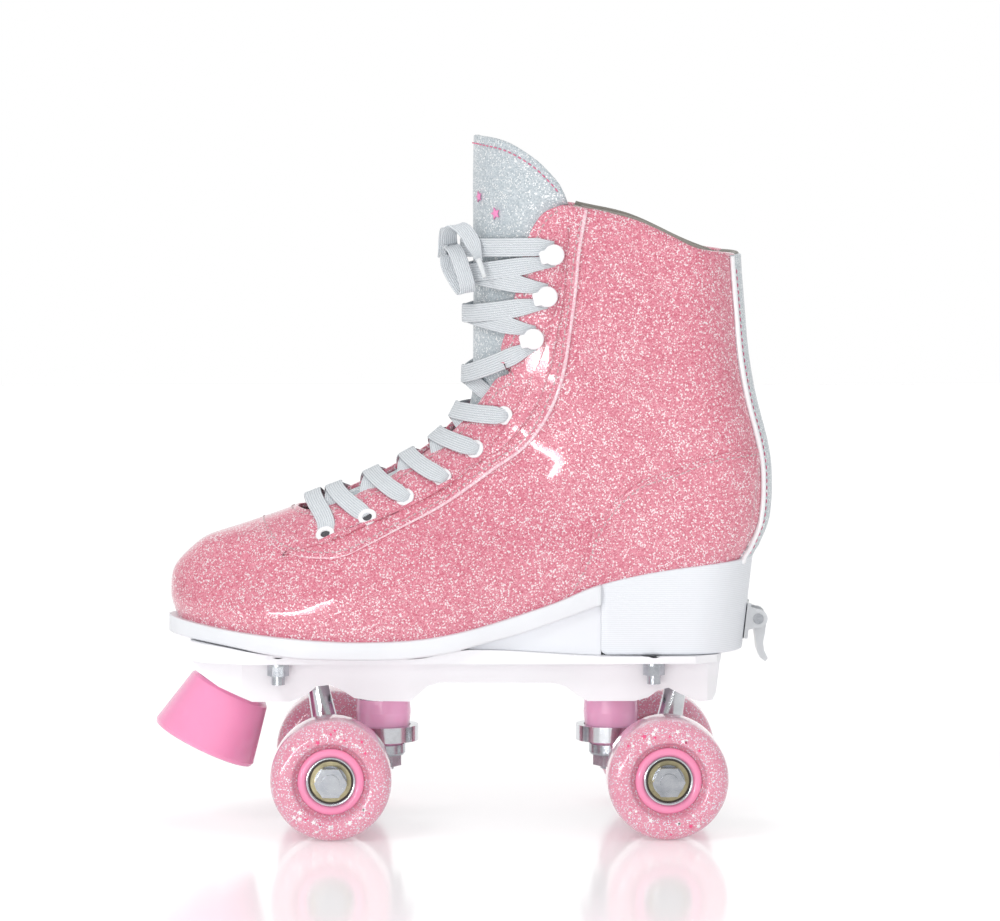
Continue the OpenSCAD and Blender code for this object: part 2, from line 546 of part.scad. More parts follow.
// Point of a strip round the back of the boot: s runs from side to side, z is its height
function back_point(s, z, reach, d) =
    let (xb = curve(BACK_X, z) - d, x = xb - (reach - d) * (1 - cos(90 * s)))
    [x, s == 0 ? 0 : -sign(s) * boot_half(x, z, d), z];
function back_height(i, n) = mix(curve(FEATHER, 130) + lift, curve(TOPLINE, 125), i / n);
module back_strip(reach, outside, inside, n) {
    ss = [-1 : 0.125 : 1];
    slab([for (i = [0 : n]) [for (s = ss) back_point(s, back_height(i, n), reach, outside)]],
         [for (i = [0 : n]) [for (s = ss) back_point(s, back_height(i, n), reach, inside)]]);
}
module backstay() color(GREY) back_strip(backstay_reach - piping_gap, 0, skin, backstay_rows);
module collar_lining() color([0.8, 0.77, 0.73]) intersection() {
    back_strip(58, skin + 0.5, skin + 3, 12);
    translate([split_x + 0.2, -60, 126]) cube([100, 120, 200]);
}
piping_r = 1.1;
module piping() color(WHITE) for (side = [-1, 1]) {
    zs = [for (i = [0 : 20]) mix(curve(FEATHER, 118) + 2, curve(TOPLINE, 112) - 1, i / 20)];
    path = [for (z = zs) on_boot(back_edge(z) - 0.1, z, side, -1.25)];
    sweep(path, [for (z = zs) [1, 0, 0]], ngon(piping_r, 8));
}

TONGUE_TOP = [[0, 312.2], [20, 311.8], [50, 309], [70, 302.3], [83, 294.6], [90, 289], [96, 281]];
TONGUE_HALF = [[0, 30], [0.25, 42], [0.45, 62], [0.75, 78], [0.88, 85], [1, 95]];
tongue_low = 147;
tongue_t = 3.2;
// Point of the tongue: a is the turn from the middle, k the share of the way up
function tongue_point(a, k, d) =
    let (z = mix(tongue_low, curve(TONGUE_TOP, abs(a)), k), r = curve(FRONT_R, z) - d,
         xf = curve(FRONT_X, z) + d, c = boot_centre(xf, z))
    [xf + r * (1 - cos(a)), c + (boot_width(xf, z) - d) * sin(a), z];
// How far the tongue lies inside the line of the boot, deeper where the throat closes over it
function tongue_in(k) = 4.4 + 4.5 * (1 - min(1, k / 0.35));
module tongue() color(GREY) {
    ks = [for (i = [0 : 16]) i / 16];
    js = [10 : -1 : -10];
    slab([for (k = ks) [for (j = js) tongue_point(-curve(TONGUE_HALF, k) * j / 10, k, tongue_in(k))]],
         [for (k = ks) [for (j = js) tongue_point(-curve(TONGUE_HALF, k) * j / 10, k, tongue_in(k) + tongue_t)]]);
}

// ---------------------------------------------------------------- eyelets, hooks and lace

LACING = concat(EYELETS, HOOKS);
lace_w = 7;
lace_t = 1.2;
module on_skin(p, side, up) {
    n = boot_normal(p[0], p[1], side);
    translate(on_boot(p[0], p[1], side) + up * n) towards(n) children();
}
module eyelets() color(WHITE) for (side = [-1, 1], p = EYELETS) on_skin(p, side, 0.4) ring(2.25, 4.2, 1);
module lace_hooks() color(WHITE) for (side = [-1, 1], p = HOOKS) on_skin(p, side, 0.3) {
    cylinder(r = 2.2, h = 3.2);
    translate([0, 0, 3]) cylinder(r = 5, h = 1.6);
}
// Turn from the middle of the throat at which a place in the side view lies
function turn_of(p) = acos(max(-1, min(1, 1 - (p[0] - curve(FRONT_X, p[1])) / curve(FRONT_R, p[1]))));
function over_throat(a, z, up) =
    let (r = curve(FRONT_R, z) + up, xf = curve(FRONT_X, z) - up)
    [xf + r * (1 - cos(a)), boot_centre(xf, z) + (boot_width(xf, z) + up) * sin(a), z];
strand_short = 9;   // degrees by which a strand stops before the eyelet or hook that it runs to
strand_up = 2.4;    // how high over the upper a strand crosses the throat
bar_up = 4.8;       // the same for the bar across the lowest eyelets, which clears the edge of the vamp
first_up = 4;       // the same for the crossing next above it
// Height at which a strand round a place in the side view crosses the ridge of the boot
function ridge_height(p) =
    let (zs = [for (z = [p[1] : 0.5 : p[1] + 40]) z], far = [for (z = zs) norm([curve(FRONT_X, z), z] - p)])
    zs[search(min(far), far)[0]];
module strand(from, to, dir, up) {
    n = 12;
    a0 = turn_of(from);
    a1 = turn_of(to);
    top = ridge_height((from + to) / 2);
    function height(a) = a < 0 ? mix(top, from[1], (1 - cos(a)) / (1 - cos(a0))) : mix(top, to[1], (1 - cos(a)) / (1 - cos(a1)));
    turns = [for (i = [0 : n]) mix(strand_short - a0, a1 - strand_short, i / n)];
    path = [for (a = turns) over_throat(dir * a, height(a), up)];
    sweep(path, [for (i = [0 : n]) over_throat(dir * turns[i], height(turns[i]) + 1, up) - path[i]], rect(lace_w, lace_t));
}
module lace() color(GREY) {
    strand(LACING[0], LACING[0], 1, bar_up);
    for (i = [1 : len(LACING) - 1]) {
        strand(LACING[i - 1] + [0, 3], LACING[i], 1, i == 1 ? first_up : strand_up);
        strand(LACING[i - 1] + [0, 3], LACING[i], -1, i == 1 ? first_up + 0.8 : strand_up + 1.6);
    }
}
// Bow: the knot, two loops and two free ends
knot = [-5.2, -4, 261];
LOOP_NEAR = [[-5.8, -8, 261.5], [-5.6, -12, 262.4], [-4.8, -16, 262.4], [-3.6, -20, 261], [-2.2, -23.6, 258],
             [-0.8, -26, 254], [0.6, -27, 249.6], [1.6, -26.6, 245.6], [1.6, -24.6, 242.8], [0.2, -22, 242.8],
             [-2, -19.8, 245.6], [-4.2, -17.6, 249.2], [-6, -15, 252.6], [-6.8, -12, 255.6], [-6.8, -8.6, 258.6]];
LOOP_FAR = [[-5.8, 0, 261.6], [-6.2, 4, 265], [-6.4, 8, 268.4], [-6.4, 12, 270.2], [-6.6, 16, 270], [-7, 19.4, 267.8],
            [-7.4, 21, 264.2], [-7.6, 20.2, 260.8], [-7.8, 17.4, 258.8], [-8, 13.6, 258], [-8, 9.6, 257.8],
            [-7.6, 5.6, 258], [-7, 2, 258.8]];
TAIL_NEAR = [[-6.4, -8.4, 263.4], [-6.6, -11, 267], [-5.6, -14, 270.4], [-3.4, -17, 272], [-0.6, -20, 271.2],
             [2, -23, 268.4], [4, -25.6, 264.8], [5.6, -28, 260.8], [7, -30.2, 256.6]];
TAIL_FAR = [[-6, 0.8, 256.6], [-5.7, 8, 254.4], [-3.4, 15.7, 251], [0.3, 23, 247.6], [5.4, 29.6, 243.8],
            [11.7, 35.2, 239.6], [16.7, 38.6, 235.8]];
bow_w = 7;
bow_t = 1.1;
aglet_r = 1.3;
aglet_len = 9;
module bow_ribbon(path) sweep(path, [for (p = path) [1, 0, 0.2]], rect(bow_w, bow_t));
module aglet(path) {
    n = len(path) - 1;
    way = unit(path[n] - path[n - 1]);
    translate(path[n] + 0.1 * way) towards(way) cylinder(r = aglet_r, h = aglet_len);
}
module lace_knot() color(GREY) translate(knot) intersection() {
    sphere(r = 4.6);
    cube([5.6, 6.8, 12], center = true);
}
module lace_bow() color(GREY) {
    for (path = [LOOP_NEAR, LOOP_FAR, TAIL_NEAR, TAIL_FAR]) bow_ribbon(path);
    for (path = [TAIL_NEAR, TAIL_FAR]) aglet(path);
}

// ---------------------------------------------------------------- lock lever at the heel

lever_at = [134.2, 0, 93];
lever_half = 6.5;
ear_t = 2.4;
lever_pin_r = 2.4;
knuckle_r = 4.2;
module lever_bracket() color(STEEL) difference() {
    union() {
        side_view(lever_half + 0.4 + ear_t) polygon([[127.5, 84], [129.3, 84], [131, 100], [129.3, 100]]);
        side_view(lever_half + 0.4 + ear_t) polygon([[129.6, 88], [133.6, 88.9], [134.2, 97.2], [130, 98.5]]);
        along_y(-lever_half - 0.4 - ear_t) translate([lever_at[0], -lever_at[2], 0]) cylinder(r = knuckle_r, h = 2 * (lever_half + 0.4 + ear_t));
    }
    side_view(lever_half + 0.4) polygon([[129.8, 70], [150, 70], [150, 110], [130.4, 110]]);
    along_y(-20) translate([lever_at[0], -lever_at[2], 0]) cylinder(r = lever_pin_r + 0.02, h = 40);
}
module lever_pin() color(STEEL) along_y(-lever_half - 0.8 - ear_t) translate([lever_at[0], -lever_at[2], 0])
    cylinder(r = lever_pin_r, h = 2 * (lever_half + 0.8 + ear_t));
module lever() color(STEEL) difference() {
    union() {
        side_view(lever_half) polygon([[135.2, 95.8], [137, 94.6], [138, 91], [137.4, 86], [136.6, 82], [137, 78.4],
            [138.8, 74.6], [137.6, 73.2], [135.2, 75], [133.8, 78.6], [133.4, 83], [132.6, 87.6], [132.2, 90]]);
        along_y(-lever_half) translate([lever_at[0], -lever_at[2], 0]) cylinder(r = 3.3, h = 2 * lever_half);
    }
    along_y(-20) translate([lever_at[0], -lever_at[2], 0]) cylinder(r = lever_pin_r + fit, h = 40);
}

plate();
arch_wedge();
front_sole();
vamp();
quarter_left();
quarter_right();
eyestay_left();
eyestay_right();
tongue();
lace();
lace_knot();
lace_bow();
eyelets();
lace_hooks();
insole_front();
toe_stop();
toe_stop_bolt();
mounting_bolts();
mounting_nuts();
kingpins();
kingpin_nuts();
cushion_washers();
pivot_cups();
front_cushion_upper();
front_cushion_lower();
rear_cushion_upper();
rear_cushion_lower();
front_hanger();
front_axle();
front_axle_nuts();
front_axle_washers();
front_bearing_inners();
rear_hanger();
rear_axle();
rear_axle_nuts();
rear_axle_washers();
rear_bearing_inners();
tyre_front_left();
hub_front_left();
bearings_front_left();
tyre_front_right();
hub_front_right();
bearings_front_right();
tyre_rear_left();
hub_rear_left();
bearings_rear_left();
tyre_rear_right();
hub_rear_right();
bearings_rear_right();
heel_block();
heel_quarter();
heel_counter();
backstay();
piping();
collar_lining();
insole_rear();
lever_bracket();
lever_pin();
lever();
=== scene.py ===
"""A quad roller skate: a glittering high boot on a white plate with two sprung trucks and four wheels.

Lengths are millimetres until a mesh is made, and metres in Blender. X runs from the toe to the heel, Y
towards the inner side of the foot and Z up. The near side of the boot is side -1, and the far side is
side +1.
"""

from __future__ import annotations

import json
import logging
import math
import random
from dataclasses import dataclass
from enum import Enum
from typing import Callable, Sequence

import bpy
import numpy as np
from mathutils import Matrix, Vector

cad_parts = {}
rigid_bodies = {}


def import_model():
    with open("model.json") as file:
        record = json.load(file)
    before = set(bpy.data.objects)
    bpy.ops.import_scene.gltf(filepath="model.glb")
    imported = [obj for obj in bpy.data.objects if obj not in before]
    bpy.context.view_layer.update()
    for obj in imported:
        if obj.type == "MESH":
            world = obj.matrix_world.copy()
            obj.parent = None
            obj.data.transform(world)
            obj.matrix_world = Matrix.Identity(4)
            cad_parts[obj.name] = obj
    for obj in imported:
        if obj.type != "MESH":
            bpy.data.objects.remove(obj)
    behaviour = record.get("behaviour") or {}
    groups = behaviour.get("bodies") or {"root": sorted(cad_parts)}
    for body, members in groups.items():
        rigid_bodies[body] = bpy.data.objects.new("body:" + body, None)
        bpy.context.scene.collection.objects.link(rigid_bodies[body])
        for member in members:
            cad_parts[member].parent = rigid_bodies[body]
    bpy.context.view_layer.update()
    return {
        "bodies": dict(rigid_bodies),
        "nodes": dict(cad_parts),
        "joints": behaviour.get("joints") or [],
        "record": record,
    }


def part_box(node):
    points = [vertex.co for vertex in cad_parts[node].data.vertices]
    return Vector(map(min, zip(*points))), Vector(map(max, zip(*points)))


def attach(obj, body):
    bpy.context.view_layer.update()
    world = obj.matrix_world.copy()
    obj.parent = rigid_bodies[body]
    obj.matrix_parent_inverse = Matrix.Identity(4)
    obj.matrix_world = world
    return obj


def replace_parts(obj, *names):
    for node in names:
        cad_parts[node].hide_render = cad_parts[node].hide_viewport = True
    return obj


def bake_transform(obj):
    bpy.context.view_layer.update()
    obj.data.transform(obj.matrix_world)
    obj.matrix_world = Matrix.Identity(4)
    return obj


log = logging.getLogger("skate")

MM = 0.001
TAU = 2 * math.pi
CHASSIS = "chassis"
CARRIAGE = "heel_carriage"
WHEELS = ("front_left", "front_right", "rear_left", "rear_right")


# ---------------------------------------------------------------- colours and shader maths


def linear(red: int, green: int, blue: int) -> tuple[float, float, float, float]:
    """Returns the scene-linear colour of three display values from 0 to 255."""

    def channel(value: int) -> float:
        part = value / 255
        return part / 12.92 if part <= 0.04045 else ((part + 0.055) / 1.055) ** 2.4

    return channel(red), channel(green), channel(blue), 1.0


class Value:
    """One output socket of a material, on which Python's operators add Math nodes."""

    def __init__(self, shader: "Shader", socket: bpy.types.NodeSocket) -> None:
        """Wraps a socket.

        Args:
            shader: the material that the socket is in.
            socket: the output to wrap.
        """
        self.shader = shader
        self.socket = socket

    def _math(self, operation: str, *values: "Value | float") -> "Value":
        """Returns a Math node of that operation on the values."""
        return self.shader.node("ShaderNodeMath", {"operation": operation}, dict(enumerate(values)))

    def __add__(self, other: "Value | float") -> "Value":
        """Returns self + other."""
        return self._math("ADD", self, other)

    def __radd__(self, other: float) -> "Value":
        """Returns other + self."""
        return self._math("ADD", other, self)

    def __sub__(self, other: "Value | float") -> "Value":
        """Returns self - other."""
        return self._math("SUBTRACT", self, other)

    def __rsub__(self, other: float) -> "Value":
        """Returns other - self."""
        return self._math("SUBTRACT", other, self)

    def __mul__(self, other: "Value | float") -> "Value":
        """Returns self * other."""
        return self._math("MULTIPLY", self, other)

    def __rmul__(self, other: float) -> "Value":
        """Returns other * self."""
        return self._math("MULTIPLY", other, self)

    def __pow__(self, other: "Value | float") -> "Value":
        """Returns self to the power of other."""
        return self._math("POWER", self, other)

    def above(self, limit: "Value | float") -> "Value":
        """Returns 1 where the value is over the limit, and 0 elsewhere."""
        return self._math("GREATER_THAN", self, limit)

    def size(self) -> "Value":
        """Returns the value without its sign."""
        return self._math("ABSOLUTE", self)

    def sine(self) -> "Value":
        """Returns the sine of the value."""
        return self._math("SINE", self)

    def ramp(self, low: float, high: float) -> "Value":
        """Returns the value mapped from low..high to 0..1 and held there."""
        settings = {"interpolation_type": "SMOOTHSTEP"}
        return self.shader.node("ShaderNodeMapRange", settings, {0: self, 1: low, 2: high})


class Shader:
    """A material on one Principled surface, built from expressions."""

    def __init__(self, name: str) -> None:
        """Makes an empty material with a Principled surface.

        Args:
            name: the material's name.
        """
        self.material = bpy.data.materials.new(name)
        self.material.use_nodes = True
        self.tree = self.material.node_tree
        self.tree.nodes.clear()
        output = self.tree.nodes.new("ShaderNodeOutputMaterial")
        self.surface = self.tree.nodes.new("ShaderNodeBsdfPrincipled")
        self.tree.links.new(self.surface.outputs[0], output.inputs[0])

    def node(self, kind: str, settings: dict[str, object] | None = None, inputs: dict | None = None,
             out: int | str = 0) -> Value:
        """Adds a node.

        Args:
            kind: the node's type.
            settings: its settings, which are set first.
            inputs: values or links of its sockets, by name or place.
            out: the output that is returned, by name or place.

        Returns:
            The chosen output.
        """
        made = self.tree.nodes.new(kind)
        for name, value in (settings or {}).items():
            setattr(made, name, value)
        for name, value in (inputs or {}).items():
            self._feed(made.inputs[name], value)
        return Value(self, made.outputs[out])

    def _feed(self, socket: bpy.types.NodeSocket, value: object) -> None:
        """Links or sets one input socket."""
        if isinstance(value, Value):
            self.tree.links.new(value.socket, socket)
        else:
            socket.default_value = value

    def set(self, **values: object) -> "Shader":
        """Sets or links sockets of the surface.

        Args:
            values: one for each socket, named in lower case with underscores.

        Returns:
            The shader, for chaining.
        """
        for name, value in values.items():
            words = name.replace("_", " ").title().replace("Ior", "IOR")
            self._feed(self.surface.inputs[words], value)
        return self

    def place(self) -> Value:
        """Returns the object's own coordinates, in metres."""
        return self.node("ShaderNodeTexCoord", out="Object")

    def uv(self) -> tuple[Value, Value]:
        """Returns the two surface coordinates of a mesh that has them."""
        split = self.node("ShaderNodeSeparateXYZ", inputs={0: self.node("ShaderNodeTexCoord", out="UV")})
        return split, Value(self, split.socket.node.outputs[1])

    def axis(self, index: int) -> Value:
        """Returns one of the object's own coordinates, in metres."""
        return self.node("ShaderNodeSeparateXYZ", inputs={0: self.place()}, out=index)

    def facing(self, index: int) -> Value:
        """Returns how far the surface itself faces along one of the object's own axes, from -1 to 1."""
        normal = self.node("ShaderNodeTexCoord", out="Normal")
        return self.node("ShaderNodeSeparateXYZ", inputs={0: normal}, out=index)

    def noise(self, per_metre: float, detail: float = 2.0, rough: float = 0.5) -> Value:
        """Returns smooth noise from 0 to 1 with that many cells in a metre."""
        inputs = {"Vector": self.place(), "Scale": per_metre, "Detail": detail, "Roughness": rough}
        return self.node("ShaderNodeTexNoise", inputs=inputs)

    def cells(self, per_metre: float) -> Value:
        """Returns the colours of a field of cells, that many in a metre."""
        inputs = {"Vector": self.place(), "Scale": per_metre}
        return self.node("ShaderNodeTexVoronoi", inputs=inputs, out="Color")

    def parts(self, colour: Value) -> list[Value]:
        """Returns the three channels of a colour."""
        split = self.node("ShaderNodeSeparateColor", inputs={0: colour})
        return [Value(self, output) for output in split.socket.node.outputs]

    def mix(self, share: Value | float, first: object, second: object) -> Value:
        """Returns the first colour where share is 0 and the second where it is 1."""
        return self.node("ShaderNodeMix", {"data_type": "RGBA"}, {0: share, 6: first, 7: second}, 2)

    def bump(self, height: Value, distance_mm: float, under: Value | None = None) -> Value:
        """Returns the normal of a surface raised by height times a distance, over another bump if given."""
        inputs = {"Height": height, "Distance": distance_mm * MM}
        if under:
            inputs["Normal"] = under
        return self.node("ShaderNodeBump", inputs=inputs)


class Finish:
    """A finish, which makes its material once and then hands out the same one."""

    made: dict[object, bpy.types.Material] = {}

    def build(self, shader: Shader) -> None:
        """Fills the shader. Each finish has its own."""
        raise NotImplementedError

    def material(self) -> bpy.types.Material:
        """Returns the finish's material."""
        if self not in Finish.made:
            shader = Shader(type(self).__name__.lower())
            self.build(shader)
            Finish.made[self] = shader.material
        return Finish.made[self]


@dataclass(frozen=True)
class GlitterPatent(Finish):
    """Glitter film under a clear glossy coat."""

    base: tuple = linear(218, 112, 136)
    light: tuple = linear(240, 162, 178)
    deep: tuple = linear(198, 76, 106)
    # spark: the white of the sparkling flakes, partly real flakes and partly painted glints.
    spark: tuple = linear(255, 240, 244)
    flake_mm: float = 0.58
    sparks: float = 0.86
    coat: float = 1.0

    def build(self, shader: Shader) -> None:
        """Fills the shader with two sizes of flake, each cell with a tint and a tilt of its own; white flakes
        are partly painted glints.
        """
        cells = shader.cells(1 / (self.flake_mm * MM))
        tint, spark, tilt = shader.parts(cells)
        fine = shader.parts(shader.cells(1.7 / (self.flake_mm * MM)))
        clouds = shader.noise(60, 3)
        ground = shader.mix(tint, self.deep, self.light)
        ground = shader.mix(fine[0] * 0.6, ground, self.base)
        ground = shader.mix((clouds - 0.5) * 0.35, ground, self.light)
        # White flake spots: partly real flakes, partly painted glints that stand in for the flakes'
        # reflections.
        bright = (spark + (clouds - 0.5) * 0.25).above(self.sparks)
        small = fine[1].above(0.95)
        colour = shader.mix(bright * 0.9, ground, self.spark)
        colour = shader.mix(small * 0.7, colour, self.spark)
        glint = shader.bump(tilt, 0.12)
        waves = shader.noise(38, 1)
        shader.set(
            base_color=colour,
            roughness=0.42 - 0.12 * fine[2],
            metallic=bright * 0.25,
            normal=shader.bump(waves, 1.1, glint),
            coat_weight=self.coat,
            coat_roughness=0.06,
            coat_ior=1.65,
            specular_ior_level=0.6,
        )


@dataclass(frozen=True)
class GlitterUrethane(Finish):
    """Clear tinted urethane with flakes hanging in it."""

    base: tuple = linear(228, 138, 164)
    light: tuple = linear(238, 186, 202)
    deep: tuple = linear(196, 92, 126)
    # spark: the white of the sparkling flakes, partly real flakes and partly painted glints.
    spark: tuple = linear(240, 240, 248)
    flake_mm: float = 0.44

    def build(self, shader: Shader) -> None:
        """Fills the shader with dense flakes, white ones partly painted glints, a tread painted paler than the
        faces as a painted sheen, and a wet gloss.
        """
        tint, spark, tilt = shader.parts(shader.cells(1 / (self.flake_mm * MM)))
        fine = shader.parts(shader.cells(2.1 / (self.flake_mm * MM)))
        clouds = shader.noise(90, 3)
        # edge is a painted sheen: the tread, which faces across the wheel's axis, is painted paler than the
        # faces.
        edge = 1 - shader.facing(1).size() ** 0.7
        ground = shader.mix(tint * 0.55, self.base, self.light)
        ground = shader.mix(fine[0].above(0.8) * 0.5, ground, self.deep)
        ground = shader.mix((clouds - 0.4) * 0.5, ground, self.light)
        ground = shader.mix(edge * 0.45, ground, self.light)
        # White flake spots: partly real flakes, partly painted glints that stand in for the flakes'
        # reflections.
        bright = (spark + (clouds - 0.5) * 0.12).above(0.86)
        colour = shader.mix(bright, ground, self.spark)
        shader.set(
            base_color=colour,
            roughness=0.3,
            metallic=bright * 0.2,
            normal=shader.bump(tilt, 0.08),
            coat_weight=1.0,
            coat_roughness=0.04,
            subsurface_weight=0.25,
            subsurface_radius=(0.004, 0.0015, 0.002),
        )


@dataclass(frozen=True)
class GlitterCloth(Finish):
    """Fine grey glitter cloth without a clear coat."""

    base: tuple = linear(194, 203, 208)
    deep: tuple = linear(160, 173, 181)
    light: tuple = linear(222, 228, 232)
    # spark: the white of the sparkling flakes, partly real flakes and partly painted glints.
    spark: tuple = linear(252, 254, 255)
    flake_mm: float = 0.55

    def build(self, shader: Shader) -> None:
        """Fills the shader with flakes on a matt ground; white flakes are partly painted glints."""
        tint, spark, tilt = shader.parts(shader.cells(1 / (self.flake_mm * MM)))
        clouds = shader.noise(70, 2)
        ground = shader.mix(tint, self.deep, self.light)
        ground = shader.mix(0.4, ground, self.base)
        # White flake spots: partly real flakes, partly painted glints that stand in for the flakes'
        # reflections.
        bright = (spark + (clouds - 0.5) * 0.2).above(0.86)
        shader.set(
            base_color=shader.mix(bright, ground, self.spark),
            roughness=0.5 - 0.2 * tint,
            metallic=bright * 0.4,
            normal=shader.bump(tilt, 0.18),
            coat_weight=0.15,
            coat_roughness=0.3,
        )


@dataclass(frozen=True)
class Braid(Finish):
    """Flat ribbed lace; the mesh's surface coordinates run across it and along it, in millimetres."""

    base: tuple = linear(226, 230, 234)
    deep: tuple = linear(180, 188, 194)
    stitch_mm: float = 1.1

    def build(self, shader: Shader) -> None:
        """Fills the shader with slanting yarns on each rib, and painted shade in the valleys between the ribs.
        """
        across, along = shader.uv()
        slant = (along * (TAU / self.stitch_mm) + (across * TAU).sine() * 2.2).sine()
        yarn = slant.ramp(-1.0, 1.0)
        fuzz = shader.noise(900, 2)
        # Painted shade: each rib is painted lighter on its crown and darker in the valleys between ribs; yarn
        # and fuzz are the braid's own pattern.
        painted_rib_shading = (across * math.pi).sine().size().ramp(0.1, 0.75)
        tone = (yarn * 0.3 + fuzz * 0.2 + painted_rib_shading * 0.5).ramp(0.1, 0.8)
        shader.set(
            base_color=shader.mix(tone, self.deep, self.base),
            roughness=0.78,
            normal=shader.bump(yarn * 0.7 + fuzz * 0.4, 0.16),
            sheen_weight=0.25,
            sheen_roughness=0.5,
        )


@dataclass(frozen=True)
class Cloth(Finish):
    """Plain woven cloth."""

    base: tuple = linear(186, 180, 172)
    deep: tuple = linear(150, 144, 136)
    thread_mm: float = 0.7

    def build(self, shader: Shader) -> None:
        """Fills the shader with crossing threads."""
        warp = (shader.axis(2) * (TAU / (self.thread_mm * MM))).sine()
        weft = ((shader.axis(0) + shader.axis(1)) * (TAU / (self.thread_mm * MM))).sine()
        weave = (warp * weft).ramp(-1.0, 1.0)
        fuzz = shader.noise(500, 3)
        shader.set(
            base_color=shader.mix(weave * 0.5 + fuzz * 0.5, self.deep, self.base),
            roughness=0.9,
            normal=shader.bump(weave * 0.6 + fuzz, 0.12),
            sheen_weight=0.3,
        )


@dataclass(frozen=True)
class Thread(Finish):
    """Twisted sewing thread."""

    base: tuple = linear(226, 206, 208)

    def build(self, shader: Shader) -> None:
        """Fills the shader with a fine twist."""
        twist = ((shader.axis(0) + shader.axis(2) * 1.3) * (TAU / 0.00045)).sine().ramp(-1.0, 1.0)
        dark = tuple(c * 0.72 for c in self.base[:3]) + (1.0,)
        colour = shader.mix(twist, dark, self.base)
        shader.set(base_color=colour, roughness=0.6, normal=shader.bump(twist, 0.05))


@dataclass(frozen=True)
class Moulding(Finish):
    """Moulded plastic or rubber, with optional fine lines round it."""

    base: tuple = linear(240, 242, 246)
    rough: float = 0.28
    lines_mm: float = 0.0
    coat: float = 0.0
    soft: float = 0.0

    def build(self, shader: Shader) -> None:
        """Fills the shader with a slight orange peel, a little uneven tone and the lines."""
        peel = shader.noise(700, 2)
        tone = shader.noise(25, 3)
        shade = tuple(c * 0.93 for c in self.base[:3]) + (1.0,)
        height = peel * 0.25
        if self.lines_mm:
            wave = (shader.axis(2) * (TAU / (self.lines_mm * MM))).sine().ramp(-1.0, 1.0)
            height = wave * 0.8 + shader.noise(260, 4) * 0.5
            tone = tone * 0.5 + wave * 0.5
        shader.set(
            base_color=shader.mix(tone.ramp(0.2, 0.8), shade, self.base),
            roughness=self.rough + 0.08 * (peel - 0.5),
            normal=shader.bump(height, 0.05 if self.lines_mm else 0.03),
            coat_weight=self.coat,
            coat_roughness=0.08,
        )
        if self.soft:
            shader.set(subsurface_weight=self.soft, subsurface_radius=(0.003, 0.0015, 0.002))


@dataclass(frozen=True)
class Metal(Finish):
    """Bare metal, polished, plated or ground."""

    base: tuple = linear(205, 207, 211)
    rough: float = 0.2
    grain: float = 0.35
    warm: tuple = linear(205, 207, 211)

    def build(self, shader: Shader) -> None:
        """Fills the shader with faint wear, stains and a fine grain."""
        stain = shader.noise(140, 4, 0.6)
        scratch = shader.noise(2600, 2)
        shader.set(
            base_color=shader.mix(stain.ramp(0.35, 0.75), self.base, self.warm),
            metallic=1.0,
            roughness=self.rough + self.grain * 0.25 * (stain - 0.4) + 0.06 * scratch,
            normal=shader.bump(scratch, 0.012 * (1 + self.grain)),
        )


PATENT = GlitterPatent()
# A paler copy of the patent for the eyestay's seam edge: a painted highlight streak.
SEAM_PAINTED_HIGHLIGHT = GlitterPatent(linear(250, 206, 216), linear(255, 238, 242), linear(240, 160, 182))
GREY_GLITTER = GlitterCloth()
TYRE = GlitterUrethane()
LACE = Braid()
LINING = Cloth()
INSOLE = Cloth(linear(214, 208, 200), linear(184, 178, 170), 0.9)
BINDING = Cloth(linear(158, 154, 146), linear(124, 120, 114), 0.5)
SEAM_THREAD = Thread()
PINK_THREAD = Thread(linear(246, 120, 160))
NYLON = Moulding(linear(250, 250, 253), 0.3)
SOLE_WHITE = Moulding(linear(238, 240, 244), 0.42)
BLOCK_WHITE = Moulding(linear(236, 239, 244), 0.45, 0.9)
WEDGE_WHITE = Moulding(linear(240, 242, 247), 0.14, coat=0.5)
TRIM_WHITE = Moulding(linear(248, 248, 250), 0.16, coat=0.6)
STOP_ROSE = Moulding(linear(255, 160, 202), 0.24, coat=0.5, soft=0.2)
CUSHION_ROSE = Moulding(linear(255, 186, 222), 0.24, coat=0.4, soft=0.25)
HUB_ROSE = Moulding(linear(250, 152, 190), 0.25, coat=0.5, soft=0.15)
STAR_WHITE = Moulding(linear(255, 250, 252), 0.3)
STAR_PINK = Moulding(linear(250, 150, 202), 0.35)
WHEEL_PINK = Moulding(linear(244, 88, 140), 0.35)
LEVER_GREY = Moulding(linear(206, 209, 212), 0.3, coat=0.4)
# Dark grey for the pivot cups, and for the painted shade in the eyelet holes.
CUP_GREY_AND_HOLE_SHADE = Moulding(linear(82, 82, 86), 0.6)
POLISHED = Metal(linear(214, 216, 220), 0.09, 0.4, linear(196, 198, 202))
ZINC = Metal(linear(190, 193, 198), 0.18, 0.5, linear(162, 166, 172))
BEARING = Metal(linear(158, 150, 122), 0.25, 0.4, linear(186, 176, 140))
GROOVE = Moulding(linear(70, 62, 54), 0.5)
AGLET = Moulding(linear(225, 228, 230), 0.15, coat=0.8)


# ---------------------------------------------------------------- meshes


